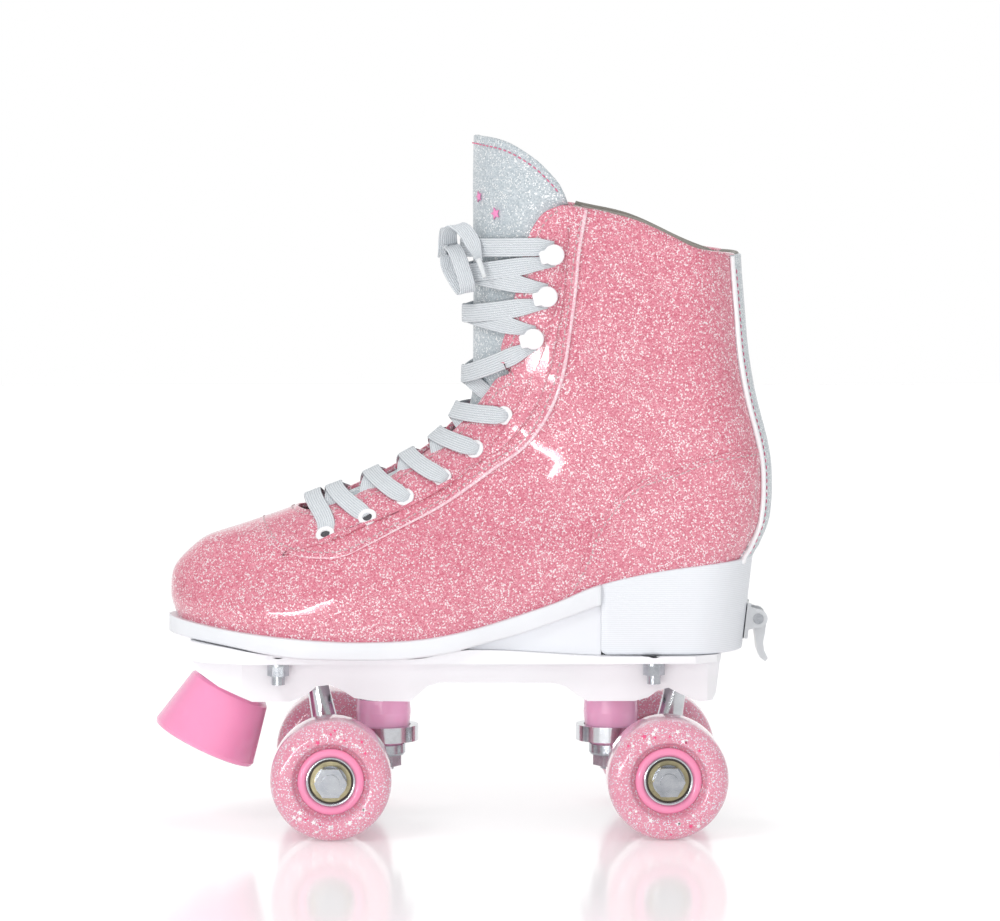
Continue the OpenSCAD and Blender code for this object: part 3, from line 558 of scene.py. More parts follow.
def mesh_piece(
    name: str,
    points: np.ndarray,
    faces: Sequence[Sequence[int]],
    finish: Finish,
    uv: np.ndarray | None = None,
) -> bpy.types.Object:
    """Makes a smooth mesh object.

    Args:
        name: the piece's name.
        points: its points, in millimetres, one row each.
        faces: the indices of each face's points, anticlockwise from outside.
        finish: what it is made of.
        uv: surface coordinates, one row for each point.

    Returns:
        The object, in metres.
    """
    mesh = bpy.data.meshes.new(name)
    mesh.from_pydata((np.asarray(points, float) * MM).tolist(), [], [list(map(int, f)) for f in faces])
    mesh.validate()
    if uv is not None:
        layer = mesh.uv_layers.new(name="UVMap")
        corners = np.array([loop.vertex_index for loop in mesh.loops])
        layer.data.foreach_set("uv", np.asarray(uv, np.float32)[corners].ravel())
    mesh.shade_smooth()
    mesh.materials.append(finish.material())
    piece = bpy.data.objects.new(name, mesh)
    bpy.context.scene.collection.objects.link(piece)
    return piece


def round_edges(piece: bpy.types.Object, width_mm: float, segments: int,
                over_degrees: float) -> bpy.types.Modifier:
    """Rounds the edges of a piece that are sharper than an angle.

    Args:
        piece: the piece.
        width_mm: how wide the rounding is.
        segments: its steps.
        over_degrees: the angle from which an edge is rounded.

    Returns:
        The modifier.
    """
    bevel = piece.modifiers.new("edges", "BEVEL")
    bevel.width = width_mm * MM
    bevel.segments = segments
    bevel.limit_method = "ANGLE"
    bevel.angle_limit = math.radians(over_degrees)
    return bevel


def grid_faces(rows: int, cols: int, round_rows: bool = False, round_cols: bool = False) -> list:
    """Returns the faces of a grid of points, row by row, closed round either way if asked."""
    faces = []
    for i in range(rows if round_rows else rows - 1):
        for j in range(cols if round_cols else cols - 1):
            here, down, right = i * cols, (i + 1) % rows * cols, (j + 1) % cols
            faces.append((here + j, here + right, down + right, down + j))
    return faces


def joined(parts: Sequence[tuple[np.ndarray, list]]) -> tuple[np.ndarray, list]:
    """Returns several (points, faces) pairs as one."""
    points, faces, start = [], [], 0
    for part_points, part_faces in parts:
        points.append(part_points)
        faces.extend(tuple(index + start for index in face) for face in part_faces)
        start += len(part_points)
    return np.concatenate(points), faces


def unit(vectors: np.ndarray) -> np.ndarray:
    """Returns the vectors at length one."""
    return vectors / np.maximum(np.linalg.norm(vectors, axis=-1, keepdims=True), 1e-9)


def grid_normals(grid: np.ndarray) -> np.ndarray:
    """Returns the normals of a grid of points, from its two directions."""
    return unit(np.cross(np.gradient(grid, axis=0), np.gradient(grid, axis=1)))


def thick_sheet(outer: np.ndarray, inner: np.ndarray) -> tuple[np.ndarray, list]:
    """Returns a closed sheet between two grids of points.

    Args:
        outer: rows by columns by 3.
        inner: the same size, on the other face.

    Returns:
        Its points and faces, with an extra row round the edge that rounds it.
    """
    rows, cols = outer.shape[:2]
    count = rows * cols
    middle = (outer + inner) / 2
    out_step = np.zeros_like(middle)
    for axis in (0, 1):
        size = middle.shape[axis]
        first, last = [slice(None)] * 2, [slice(None)] * 2
        first[axis], last[axis] = 0, size - 1
        near, far = [slice(None)] * 2, [slice(None)] * 2
        near[axis], far[axis] = 1, size - 2
        half = np.linalg.norm(outer - inner, axis=-1, keepdims=True) / 2
        out_step[tuple(first)] += unit(middle[tuple(first)] - middle[tuple(near)]) * half[tuple(first)] * 0.6
        out_step[tuple(last)] += unit(middle[tuple(last)] - middle[tuple(far)]) * half[tuple(last)] * 0.6
    rim_points = middle + out_step
    faces = grid_faces(rows, cols)
    faces += [tuple(index + count for index in reversed(face)) for face in grid_faces(rows, cols)]
    loop = [(0, j) for j in range(cols)] + [(i, cols - 1) for i in range(1, rows)]
    loop += [(rows - 1, j) for j in range(cols - 2, -1, -1)] + [(i, 0) for i in range(rows - 2, 0, -1)]
    rim = np.array([rim_points[i, j] for i, j in loop])
    start = 2 * count
    size = len(loop)
    for k in range(size):
        a, b = loop[k], loop[(k + 1) % size]
        ia, ib = a[0] * cols + a[1], b[0] * cols + b[1]
        faces.append((ib, ia, start + k, start + (k + 1) % size))
        faces.append((start + (k + 1) % size, start + k, count + ia, count + ib))
    faces = [tuple(reversed(face)) for face in faces]
    return np.concatenate([outer.reshape(-1, 3), inner.reshape(-1, 3), rim]), faces


def tube(path: np.ndarray, radius: float | np.ndarray, sides: int = 10, squeeze: float = 1.0,
         up: np.ndarray | None = None) -> tuple[np.ndarray, list]:
    """Returns a round or oval tube along a path, closed at both ends.

    Args:
        path: its middle line.
        radius: its radius, or one for each point.
        sides: points round it.
        squeeze: how thick it is along up, as a share of the radius.
        up: a direction across it, or one for each point.

    Returns:
        Its points and faces.
    """
    along = unit(np.gradient(path, axis=0))
    guide = np.broadcast_to(np.array([0.0, 0.0, 1.0]) if up is None else up, path.shape)
    side = np.cross(along, guide)
    weak = np.linalg.norm(side, axis=1) < 1e-3
    side[weak] = np.cross(along[weak], [1.0, 0.0, 0.0])
    side = unit(side)
    top = np.cross(side, along)
    size = np.broadcast_to(np.asarray(radius, float), (len(path),))
    turn = np.arange(sides) * TAU / sides
    rings = (path[:, None] + side[:, None] * (np.cos(turn)[None, :, None] * size[:, None, None])
             + top[:, None] * (np.sin(turn)[None, :, None] * size[:, None, None] * squeeze))
    faces = [tuple(reversed(f)) for f in grid_faces(len(path), sides, round_cols=True)]
    faces.append(tuple(range(sides)))
    faces.append(tuple(len(path) * sides - 1 - k for k in range(sides)))
    return rings.reshape(-1, 3), faces


def lathe(profile: Sequence[tuple[float, float]], sides: int = 96,
          closed: bool = False) -> tuple[np.ndarray, list]:
    """Returns a profile of (radius, height) points turned round the Z axis.

    Args:
        profile: its points, from the lowest up, or out over one face and back over the other.
        sides: points round it.
        closed: whether the profile is a ring rather than a line with a flat end above and below.

    Returns:
        Its points and faces.
    """
    turn = np.arange(sides) * TAU / sides
    rings = np.array([[(r * math.cos(a), r * math.sin(a), h) for a in turn] for r, h in profile])
    faces = grid_faces(len(profile), sides, round_rows=closed, round_cols=True)
    if closed:
        faces = [tuple(reversed(face)) for face in faces]
    else:
        faces.append(tuple(reversed(range(sides))))
        faces.append(tuple((len(profile) - 1) * sides + k for k in range(sides)))
    return rings.reshape(-1, 3), faces


def turned(points: np.ndarray, axis: np.ndarray, origin: np.ndarray) -> np.ndarray:
    """Returns points with their Z axis turned to a direction and moved to an origin."""
    z = unit(np.asarray(axis, float))
    x = unit(np.cross([0.0, 1.0, 0.0] if abs(z[1]) < 0.9 else [1.0, 0.0, 0.0], z))
    y = np.cross(z, x)
    return points @ np.array([x, y, z]) + np.asarray(origin, float)


def arc_points(centre: tuple[float, float], radius: float, start: float, end: float, steps: int = 10) -> list:
    """Returns points of an arc, from one angle in degrees to another."""
    angles = np.radians(np.linspace(start, end, steps))
    return [(centre[0] + radius * math.cos(a), centre[1] + radius * math.sin(a)) for a in angles]


def distances(path: np.ndarray) -> np.ndarray:
    """Returns how far along a line each of its points lies."""
    return np.concatenate([[0], np.cumsum(np.linalg.norm(np.diff(path, axis=0), axis=1))])


def picked(path: np.ndarray, shares: np.ndarray) -> np.ndarray:
    """Returns the rows of a table at shares of the way down it."""
    given = np.linspace(0, 1, len(path))
    return np.stack([np.interp(shares, given, column) for column in path.T], axis=1)


def smooth_path(points: Sequence[Sequence[float]], step: float) -> np.ndarray:
    """Returns a smooth line through points, with a point about every step."""
    given = np.asarray(points, float)
    along = distances(given)
    slopes = np.gradient(given, along, axis=0)
    at = np.linspace(0, along[-1], max(3, int(along[-1] / step)))
    k = np.clip(np.searchsorted(along, at, side="right") - 1, 0, len(given) - 2)
    h = (along[k + 1] - along[k])[:, None]
    t = ((at - along[k]) / h[:, 0])[:, None]
    return ((1 + 2 * t) * (1 - t) ** 2 * given[k] + t * (1 - t) ** 2 * slopes[k] * h
            + t * t * (3 - 2 * t) * given[k + 1] + t * t * (t - 1) * slopes[k + 1] * h)


# ---------------------------------------------------------------- shape of the boot


class Curve:
    """A smooth curve through a few points, each a place and a value."""

    def __init__(self, *points: tuple[float, float]) -> None:
        """Keeps the points and works out the slopes at them."""
        self.x, self.y = np.array(points, float).T
        index = np.arange(len(points))
        first, last = np.maximum(index - 1, 0), np.minimum(index + 1, len(points) - 1)
        self.slope = (self.y[last] - self.y[first]) / (self.x[last] - self.x[first])

    def __call__(self, x: np.ndarray | float) -> np.ndarray:
        """Returns the curve's values at places."""
        x = np.asarray(x, float)
        k = np.clip(np.searchsorted(self.x, x, side="right") - 1, 0, len(self.x) - 2)
        h = self.x[k + 1] - self.x[k]
        t = np.clip((x - self.x[k]) / h, 0, 1)
        return ((1 + 2 * t) * (1 - t) ** 2 * self.y[k] + t * (1 - t) ** 2 * self.slope[k] * h
                + t * t * (3 - 2 * t) * self.y[k + 1] + t * t * (t - 1) * self.slope[k + 1] * h)


def ease(low: float, high: float, x: np.ndarray) -> np.ndarray:
    """Returns x mapped smoothly from low..high to 0..1."""
    t = np.clip((x - low) / (high - low), 0, 1)
    return t * t * (3 - 2 * t)


class Boot:
    """The boot's outer form, as a half width for each place in its side view."""

    feather = Curve((-136, 94.4), (-124, 92.7), (-94, 89.1), (-55, 86.4), (-28, 86.6), (-11, 88.4), (9, 92.8),
                    (40, 102.5), (60, 110.5), (92, 117.5), (132, 122))
    band_low = Curve((-136, 87), (-108, 84), (-80, 79.8), (-55, 78.8), (-28, 79), (-8, 81.2), (6, 84.7),
                     (26, 89.8), (40, 94.4), (62, 102.3))
    front_x = Curve((80, -130), (94, -132), (104, -133.5), (116, -131.7), (125, -123.8), (131, -115.5),
                    (135.5, -102), (142, -83), (150, -62), (158, -42), (170, -19), (180, -7), (192, 0),
                    (205, 2.5), (315, 2.5))
    front_r = Curve((80, 66), (104, 70), (120, 140), (140, 190), (165, 117), (180, 80), (205, 42), (315, 42))
    back_x = Curve((80, 127), (98, 129.5), (121, 131.4), (127, 134.6), (139, 139.1), (159, 140.1),
                   (173, 138.3), (194, 132.9), (214, 129.3), (236, 127.3), (258, 125.6), (315, 124))
    foot_half = Curve((-136, 40), (-100, 43), (-60, 44), (-20, 40.5), (20, 35), (60, 33), (100, 33.5),
                      (140, 33))
    centre_y = Curve((-136, 6), (-95, 3.5), (-50, 0), (10, -1.5), (60, 0), (140, 0))
    topline = Curve((40, 281.2), (48, 281.3), (54, 279.8), (77, 274.4), (104, 262.1), (120, 257.4),
                    (140, 257.6))
    counter = Curve((46.8, 106.9), (53.7, 121.8), (58, 134.3), (66, 146.3), (78.4, 157.4), (94.4, 162.8),
                    (111, 169.4), (140, 176))
    back_r = 28.0
    shaft_half = 37.0
    shaft_z = (125.0, 195.0)
    backstay_reach = 4.8

    def shaft(self, z: np.ndarray) -> np.ndarray:
        """Returns 0 in the foot and 1 in the shaft."""
        return ease(*self.shaft_z, np.asarray(z, float))

    def width(self, x: np.ndarray, z: np.ndarray) -> np.ndarray:
        """Returns the half width before the ends are rounded."""
        share = self.shaft(z)
        return self.foot_half(x) * (1 - share) + self.shaft_half * share

    def centre(self, x: np.ndarray, z: np.ndarray) -> np.ndarray:
        """Returns the place of the middle line, which swings to the inner side at the toe."""
        return self.centre_y(x) * (1 - self.shaft(z))

    def half(self, x: np.ndarray, z: np.ndarray, d: float | np.ndarray = 0.0) -> np.ndarray:
        """Returns the half width, with the whole surface moved in by d."""

        def arc(t: np.ndarray) -> np.ndarray:
            u = 1 - np.clip(t, 0, 1)
            return np.sqrt(np.maximum(1 - u * u, 0))

        front = arc((x - self.front_x(z) - d) / (self.front_r(z) - d))
        back = arc((self.back_x(z) - d - x) / (self.back_r - d))
        return (self.width(x, z) - d) * front * back

    def surface(self, x: np.ndarray, z: np.ndarray, side: float | np.ndarray,
                d: float | np.ndarray = 0.0) -> np.ndarray:
        """Returns points on the boot's surface at places in its side view."""
        x, z = np.broadcast_arrays(np.asarray(x, float), np.asarray(z, float))
        return np.stack([x, self.centre(x, z) + side * self.half(x, z, d), z], axis=-1)

    def normal(self, x: np.ndarray, z: np.ndarray, side: float, d: float = 0.0) -> np.ndarray:
        """Returns outward directions at places on the surface."""
        dz = self.surface(x, z + 0.5, side, d) - self.surface(x, z - 0.5, side, d)
        dx = self.surface(x + 0.5, z, side, d) - self.surface(x - 0.5, z, side, d)
        return unit(side * np.cross(dz, dx))

    def over(self, angle: np.ndarray, z: np.ndarray, up: float | np.ndarray) -> np.ndarray:
        """Returns points over the throat.

        Args:
            angle: the turn from the middle, in degrees.
            z: the height.
            up: how far over the skin.

        Returns:
            The points.
        """
        angle, z, up = np.broadcast_arrays(np.radians(angle), np.asarray(z, float), np.asarray(up, float))
        radius, front = self.front_r(z) + up, self.front_x(z) - up
        x = front + radius * (1 - np.cos(angle))
        y = self.centre(front, z) + (self.width(front, z) + up) * np.sin(angle)
        return np.stack([x, y, z], axis=-1)

    def laid_over(self, turn: np.ndarray, z: np.ndarray,
                  up: float | np.ndarray) -> tuple[np.ndarray, np.ndarray]:
        """Returns places over the throat, up square to the form, and the direction out of it at each.

        Args:
            turn: the turn from the middle, in degrees.
            z: the height.
            up: how far off the form.

        Returns:
            The places and the directions.
        """
        round_it = self.over(turn + 1.0, z, 0.0) - self.over(turn - 1.0, z, 0.0)
        up_it = self.over(turn, z + 0.8, 0.0) - self.over(turn, z - 0.8, 0.0)
        out = unit(np.cross(up_it, round_it))
        form = self.over(turn, z, 0.0)
        away = self.over(turn, z, 2.0) - form
        out = out * np.sign((out * away).sum(axis=-1, keepdims=True))
        return form + out * np.broadcast_to(up, turn.shape)[..., None], out

    def turn_of(self, x: float, z: float) -> float:
        """Returns the turn from the middle, in degrees, of a place in the side view."""
        share = (x - self.front_x(z)) / self.front_r(z)
        return float(np.degrees(np.arccos(np.clip(1 - share, -1, 1))))

    def back_edge(self, z: np.ndarray) -> np.ndarray:
        """Returns where the backstay starts, at a height."""
        return self.back_x(z) - self.backstay_reach


BOOT = Boot()
SPLIT_X = 62.0


def stretches(piece: bpy.types.Object) -> bpy.types.Object:
    """Bakes the placement of a piece of the upper, which spans the chassis and the sliding heel, into its mesh.
    """
    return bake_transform(piece)


def outline(points: Sequence[tuple[float, float]], count: int) -> np.ndarray:
    """Returns a smooth outline in the side view, with count points evenly spread along it."""
    path = smooth_path(points, 0.5)
    along = distances(path)
    at = np.linspace(0, along[-1], count)
    return np.stack([np.interp(at, along, path[:, k]) for k in range(2)], axis=1)


def stitches(name: str, line: np.ndarray, normals: np.ndarray, finish: Finish, long: float = 2.1,
             gap: float = 0.8, thick: float = 0.28) -> tuple[np.ndarray, list]:
    """Returns a row of stitches that lie along a line on a surface.

    Args:
        name: what the row is called in the log.
        line: points along it.
        normals: the surface's direction at each of them.
        finish: the thread.
        long: length of a stitch.
        gap: space between stitches.
        thick: radius of the thread.

    Returns:
        Points and faces of the whole row.
    """
    both = np.concatenate([line, normals], axis=1)
    even = spaced_by_first(both, (long + gap) / 6)
    parts = []
    for start in range(0, len(even) - 6, 6):
        span = even[start : start + 5]
        lift = np.array([-0.35, 0.1, 0.22, 0.1, -0.35])[:, None] * thick * 2
        size = np.array([0.55, 1.0, 1.1, 1.0, 0.55]) * thick
        parts.append(tube(span[:, :3] + unit(span[:, 3:]) * lift, size, 6, 0.85, span[:, 3:]))
    log.info("%s: %d stitches in %s", name, len(parts), type(finish).__name__)
    return joined(parts)


def spaced_by_first(rows: np.ndarray, step: float) -> np.ndarray:
    """Returns rows at equal steps along the line that their first three values make."""
    along = distances(rows[:, :3])
    at = np.linspace(0, along[-1], max(2, round(along[-1] / step) + 1))
    return np.stack([np.interp(at, along, rows[:, k]) for k in range(rows.shape[1])], axis=1)


# ---------------------------------------------------------------- upper


@dataclass
class Upper:
    """The boot's skin, eyestay, heel counter, backstay, piping, lining and seams."""

    skin_t: float = 2.4
    stay_lift: float = 1.1
    stay_t: float = 2.6
    counter_lift: float = 0.6
    counter_t: float = 1.2
    backstay_t: float = 2.2
    piping_r: float = 1.15
    tuck: float = 1.5
    rows: int = 44
    cols: int = 120
    far_rise: float = 3.0

    seam = ((-99, 138.7), (-96.5, 134.5), (-91.5, 128.5), (-84, 125.4), (-74, 124), (-60, 125), (-50, 129.5),
            (-36.4, 136), (-16, 146.3), (9.4, 162.8), (25.9, 174.8), (33.5, 184.5), (39.7, 196.6),
            (42.8, 205.9), (46.4, 224.2), (49, 241), (51.2, 261.1), (54.4, 279.8))
    throat = ((-76, 144.6), (-72, 143.6), (-62, 145.4), (-48, 150.9), (-32.5, 158.7), (-16.8, 169.7),
              (-6.6, 177.3), (0.3, 183.7), (10.9, 197.5), (15.2, 203.6), (20.5, 206.2), (20.5, 209),
              (17.1, 214.6), (19.1, 225), (23.1, 240.5), (26.5, 258.3), (30.6, 270.5), (36, 277.9),
              (44.5, 281.4))
    under = ((-90, 140.6), (-86, 135), (-80, 131.5), (-72, 130.5), (-60, 131.5), (-50, 136), (-36, 142),
             (-16, 151.5), (4, 165), (20, 177), (28, 187), (34, 198), (37, 207), (40.5, 224.5), (43.5, 241),
             (45.5, 261), (49, 279))

    def build(self) -> None:
        """Makes every piece of the upper."""
        self.skin()
        self.eyestay()
        self.counter_panel()
        self.backstay()
        self.piping()
        self.lining()
        self.binding()

    def centre_fix(self, x: np.ndarray, z: np.ndarray, u: np.ndarray) -> np.ndarray:
        """Returns places moved so that the column at u = 0 follows the boot's front outline."""
        shift = BOOT.front_x(z[:, :1]) - x[:, :1]
        moved = x + shift * (1 - u[None, :] ** 2) ** 2
        return np.maximum(moved, BOOT.front_x(z))

    def both_ends_fix(self, x: np.ndarray, z: np.ndarray, u: np.ndarray) -> np.ndarray:
        """Returns places moved so that the first and last columns follow the front and the backstay."""
        shift = BOOT.back_edge(z[:, -1:]) + 1.2 - x[:, -1:]
        return self.centre_fix(x, z, u) + shift * ease(0.5, 1.0, u)[None, :]

    def two_sided(self, low: np.ndarray, high: np.ndarray, rows: int, bend: Callable | None = None,
                  rise: float = 0.0) -> tuple[np.ndarray, np.ndarray, np.ndarray]:
        """Spreads a grid between two outlines, from the near end round the front to the far end.

        Args:
            low: the lower outline in the side view, from the middle of the front.
            high: the upper outline, point against point.
            rows: rows between them.
            bend: moves the places of one side, if given.
            rise: how much higher the far side's upper outline is.

        Returns:
            Places along X and Z and the side of each point of the grid.
        """
        v = np.linspace(0, 1, rows)[:, None]
        u = np.linspace(0, 1, len(low))
        grids = []
        for side in (-1, 1):
            lift = rise * np.minimum(1, 8 * u) * (1 - ease(170, 230, high[:, 1])) if side > 0 else 0 * u
            x = low[None, :, 0] * (1 - v) + high[None, :, 0] * v
            z = low[None, :, 1] * (1 - v) + (high[None, :, 1] + lift) * v
            x = bend(x, z, u) if bend else x
            grids.append((x, z, np.full_like(x, side)))
        near, far = grids
        near[2][:, 0] = 0
        return tuple(np.concatenate([a[:, ::-1], b[:, 1:]], axis=1) for a, b in zip(near, far))

    def pressed(self, x: np.ndarray, z: np.ndarray) -> np.ndarray:
        """Returns how far the leather stands out in soft, shallow waves."""
        waves = np.sin(x / 9.0 + z / 13.0) + np.sin(x / 5.3 - z / 7.7 + 1.3) * 0.6
        waves = waves + np.sin(z / 6.1 + 0.4) * 0.4
        near_throat = np.exp(-(((x - 5) / 45) ** 2 + ((z - 165) / 30) ** 2))
        ankle = np.exp(-(((x - 62) / 30) ** 2 + ((z - 165) / 34) ** 2))
        low = 1 - np.clip((z - BOOT.feather(x)) / 13, 0, 1)
        return waves * (0.1 + 0.28 * near_throat + 0.13 * ankle) - self.tuck * low * low

    def sheet(self, name: str, x: np.ndarray, z: np.ndarray, side: np.ndarray, d: float, thick: float,
              finish: Finish = PATENT) -> bpy.types.Object:
        """Makes a sheet of the upper from a grid of places, d inside the boot's form."""
        ripple = self.pressed(x, z)
        outer = BOOT.surface(x, z, side, d)
        normals = grid_normals(outer)
        outer = outer + normals * ripple[..., None]
        return mesh_piece(name, *thick_sheet(outer, outer - normals * thick), finish)

    def skin(self) -> None:
        """Makes the one-piece vamp and quarters, from the toe to the backstay."""
        n = self.cols
        squeeze = np.linspace(0, 1, n)
        squeeze = squeeze ** 1.6 * 0.55 + squeeze * 0.45
        bottom_x = -132.2 + (BOOT.back_edge(119.0) + 1 + 132.2) * squeeze ** 1.25
        low = np.stack([bottom_x, BOOT.feather(bottom_x) - 2.5], axis=1)
        top = outline(self.under + ((54.5, 279.6), (66, 277.4), (77, 274.4), (90, 268.6), (104, 262.1),
                                    (BOOT.back_edge(259.0) + 1, 259.3)), 400)
        high = picked(top, np.linspace(0, 1, n) ** 1.35)
        x, z, side = self.two_sided(low, high, self.rows, self.both_ends_fix)
        piece = self.sheet("skin", x, z, side, 0.0, self.skin_t)
        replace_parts(piece, "vamp", "quarter_left", "quarter_right", "heel_quarter")
        stretches(piece)

    def eyestay(self) -> None:
        """Makes the facing that carries the eyelets, round the throat, its rolled edges with a painted
        highlight along the seam edge, and its two rows of stitches.
        """
        at = np.linspace(0, 1, 110) ** 1.2
        low, high = (picked(outline(points, 400), at) for points in (self.seam, self.throat))
        x, z, side = self.two_sided(low, high, 13, self.centre_fix, self.far_rise)
        piece = self.sheet("eyestay", x, z, side, -self.stay_lift, self.stay_t)
        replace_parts(piece, "eyestay_left", "eyestay_right")
        stretches(piece)
        grid = BOOT.surface(x, z, side, -self.stay_lift)
        normals = grid_normals(grid)
        ripple = self.pressed(x, z)[..., None]
        # The seam edge is a paler patent that grows thicker towards the back: a painted highlight streak along
        # the seam.
        painted_highlight_share = ease(-55, 10, x[0])
        for name, row, sink, finish in (("seam", 0, 0.3, SEAM_PAINTED_HIGHLIGHT), ("throat", 12, 0.7, PATENT)):
            radius = 0.3 + 0.55 * painted_highlight_share if row == 0 else 0.75
            edge = tube(grid[row] + normals[row] * (ripple[row] - sink), radius, 12)
            stretches(mesh_piece(f"eyestay_{name}_edge", *edge, finish))
        rows = []
        keep = slice(2, -2)
        for share, row in ((0.09, 1), (0.87, -2)):
            fx, fz, fs = (picked(table, np.array([share]))[0] for table in (x, z, side))
            line = BOOT.surface(fx, fz, fs, -self.stay_lift)
            line = line + normals[row] * (self.pressed(fx, fz)[:, None] + 0.1)
            rows.append(stitches("eyestay seam", line[keep], normals[row][keep], SEAM_THREAD))
        self.sewn("eyestay_stitches", rows, SEAM_THREAD)

    def sewn(self, name: str, rows: list, finish: Finish) -> None:
        """Makes one piece of several rows of stitches."""
        stretches(mesh_piece(name, *joined(rows), finish))

    def counter_panel(self) -> None:
        """Makes the heel counter on each side, and its seam."""
        parts, rows = [], []
        for side in (-1, 1):
            u = np.linspace(0, 1, 60)
            low_x = 46 + (BOOT.back_edge(119.0) + 1 - 46) * u
            low = np.stack([low_x, BOOT.feather(low_x) - 2], axis=1)
            high = outline([(46.2, 105.5)] + list(zip(BOOT.counter.x[1:7], BOOT.counter.y[1:7]))
                           + [(BOOT.back_edge(172.0) + 1, 172)], 60)
            v = np.linspace(0, 1, 24)[:, None]
            x = low[None, :, 0] * (1 - v) + high[None, :, 0] * v
            z = low[None, :, 1] * (1 - v) + high[None, :, 1] * v
            if side < 0:
                x, z = x[:, ::-1], z[:, ::-1]
            outer = BOOT.surface(x, z, side, -self.counter_lift)
            normals = grid_normals(outer)
            outer = outer + normals * self.pressed(x, z)[..., None]
            parts.append(thick_sheet(outer, outer - normals * self.counter_t))
            inset = outline([(49.2, 108.5), (56, 121.5), (60.3, 133.5), (67.8, 144.6), (79.2, 155.2),
                             (95, 160.6), (111.4, 167), (BOOT.back_edge(170.0), 169.6)], 120)
            normal = BOOT.normal(inset[:, 0], inset[:, 1], side)
            line = BOOT.surface(inset[:, 0], inset[:, 1], side, -self.counter_lift)
            line = line + normal * (self.pressed(inset[:, 0], inset[:, 1]) + 0.08)[:, None]
            rows.append(stitches("counter seam", line, normal, SEAM_THREAD, 1.9, 0.8, 0.25))
        piece = mesh_piece("heel_counter_panel", *joined(parts), PATENT)
        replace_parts(piece, "heel_counter")
        stretches(piece)
        self.sewn("counter_stitches", rows, SEAM_THREAD)

    def back_places(self, rows: int, cols: int, reach: float, low: float,
                    high: float) -> tuple[np.ndarray, ...]:
        """Returns a grid of places round the back of the boot, from the far side to the near side."""
        s = np.linspace(-1, 1, cols)[None, :]
        z = np.linspace(low, high, rows)[:, None] + 0 * s
        back = BOOT.back_x(z)
        x = back - reach * (1 - np.cos(np.radians(90 * s)))
        return x, z, -np.sign(s) + 0 * z

    def back_sheet(self, reach: float, d: float, low: float, high: float, rows: int,
                   cols: int) -> tuple[np.ndarray, np.ndarray]:
        """Returns the outer grid and the normals of a strip round the back."""
        x, z, side = self.back_places(rows, cols, reach, low, high)
        share = (BOOT.back_x(z) - x) / reach
        xd = BOOT.back_x(z) - d - (reach - d) * share
        outer = BOOT.surface(xd, z, side, d)
        return outer, grid_normals(outer)

    def backstay(self) -> None:
        """Makes the grey strip up the back with its pink stitches."""
        top, low = 258.6, BOOT.feather(128.0) - 1.5
        outer, normals = self.back_sheet(self.backstay_width(), -0.5, low, top, 90, 41)
        inner = outer - normals * self.backstay_t
        piece = mesh_piece("backstay_strip", *thick_sheet(outer, inner), GREY_GLITTER)
        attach(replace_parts(piece, "backstay"), CARRIAGE)
        rows = []
        for column in (5, 35):
            line, out = outer[2:-2, column], normals[2:-2, column]
            rows.append(stitches("backstay seam", line + out * 0.1, out, PINK_THREAD, 2.2, 0.9))
        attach(mesh_piece("backstay_stitches", *joined(rows), PINK_THREAD), CARRIAGE)

    def backstay_width(self) -> float:
        """Returns how far forward of the back the strip reaches."""
        return BOOT.backstay_reach + 0.6

    def piping(self) -> None:
        """Makes the white piping between the quarters and the backstay."""
        parts = []
        z = np.linspace(float(BOOT.feather(116.0)) - 1, 258.4, 130)
        for side in (-1, 1):
            x = BOOT.back_edge(z) - 0.1
            parts.append(tube(BOOT.surface(x, z, side, -0.9), self.piping_r, 14))
        piece = mesh_piece("white_piping", *joined(parts), TRIM_WHITE)
        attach(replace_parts(piece, "piping"), CARRIAGE)

    def lining(self) -> None:
        """Makes the padded lining inside the quarters and the shaft."""
        s = np.linspace(-1, 1, 145)[None, :]
        v = np.linspace(0, 1, 46)[:, None]
        side = -np.sign(s) + 0 * v
        turn = 1 - np.cos(np.radians(90 * np.abs(s)))
        d = self.skin_t + 0.25
        low_front, top_front = 18, 21 + 27 * ease(0, 1, v) + 4
        low_back, top_back = BOOT.back_x(125.0) - d, 125.6 - d
        low_x = low_back - (low_back - low_front) * turn
        top_x = top_back - (top_back - top_front) * turn
        z = (BOOT.feather(low_x) + 3) * (1 - v) + (BOOT.topline(top_x) - 1.2) * v
        back = BOOT.back_x(z) - d
        x = back - (back - (low_front * (1 - v) + top_front * v)) * turn
        outer = BOOT.surface(x, z, side, d)
        normals = grid_normals(outer)
        puff = 3.0 + 2.2 * np.exp(-(((BOOT.topline(x) - z) - 14) / 10) ** 2) * ease(46, 64, x)
        piece = mesh_piece("padded_lining", *thick_sheet(outer, outer - normals * puff[..., None]), LINING)
        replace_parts(piece, "collar_lining")
        stretches(piece)

    def binding(self) -> None:
        """Makes the thin grey edging over the top of the quarters."""
        parts = []
        for side in (-1, 1):
            x = np.linspace(52, float(BOOT.back_edge(258.5)) - 0.6, 110)
            z = BOOT.topline(x)
            parts.append(tube(BOOT.surface(x, z + 0.1, side, 1.9), 1.5, 12, 0.6, BOOT.normal(x, z, side)))
        s = np.linspace(-1, 1, 60)
        z = np.full_like(s, 258.8)
        back = BOOT.back_x(z) - 2.2
        x = back - (self.backstay_width() - 1) * (1 - np.cos(np.radians(90 * s)))
        parts.append(tube(BOOT.surface(x, z, -np.sign(s), 2.2), 1.8, 12, 0.8))
        stretches(mesh_piece("collar_binding", *joined(parts), BINDING))


# ---------------------------------------------------------------- tongue


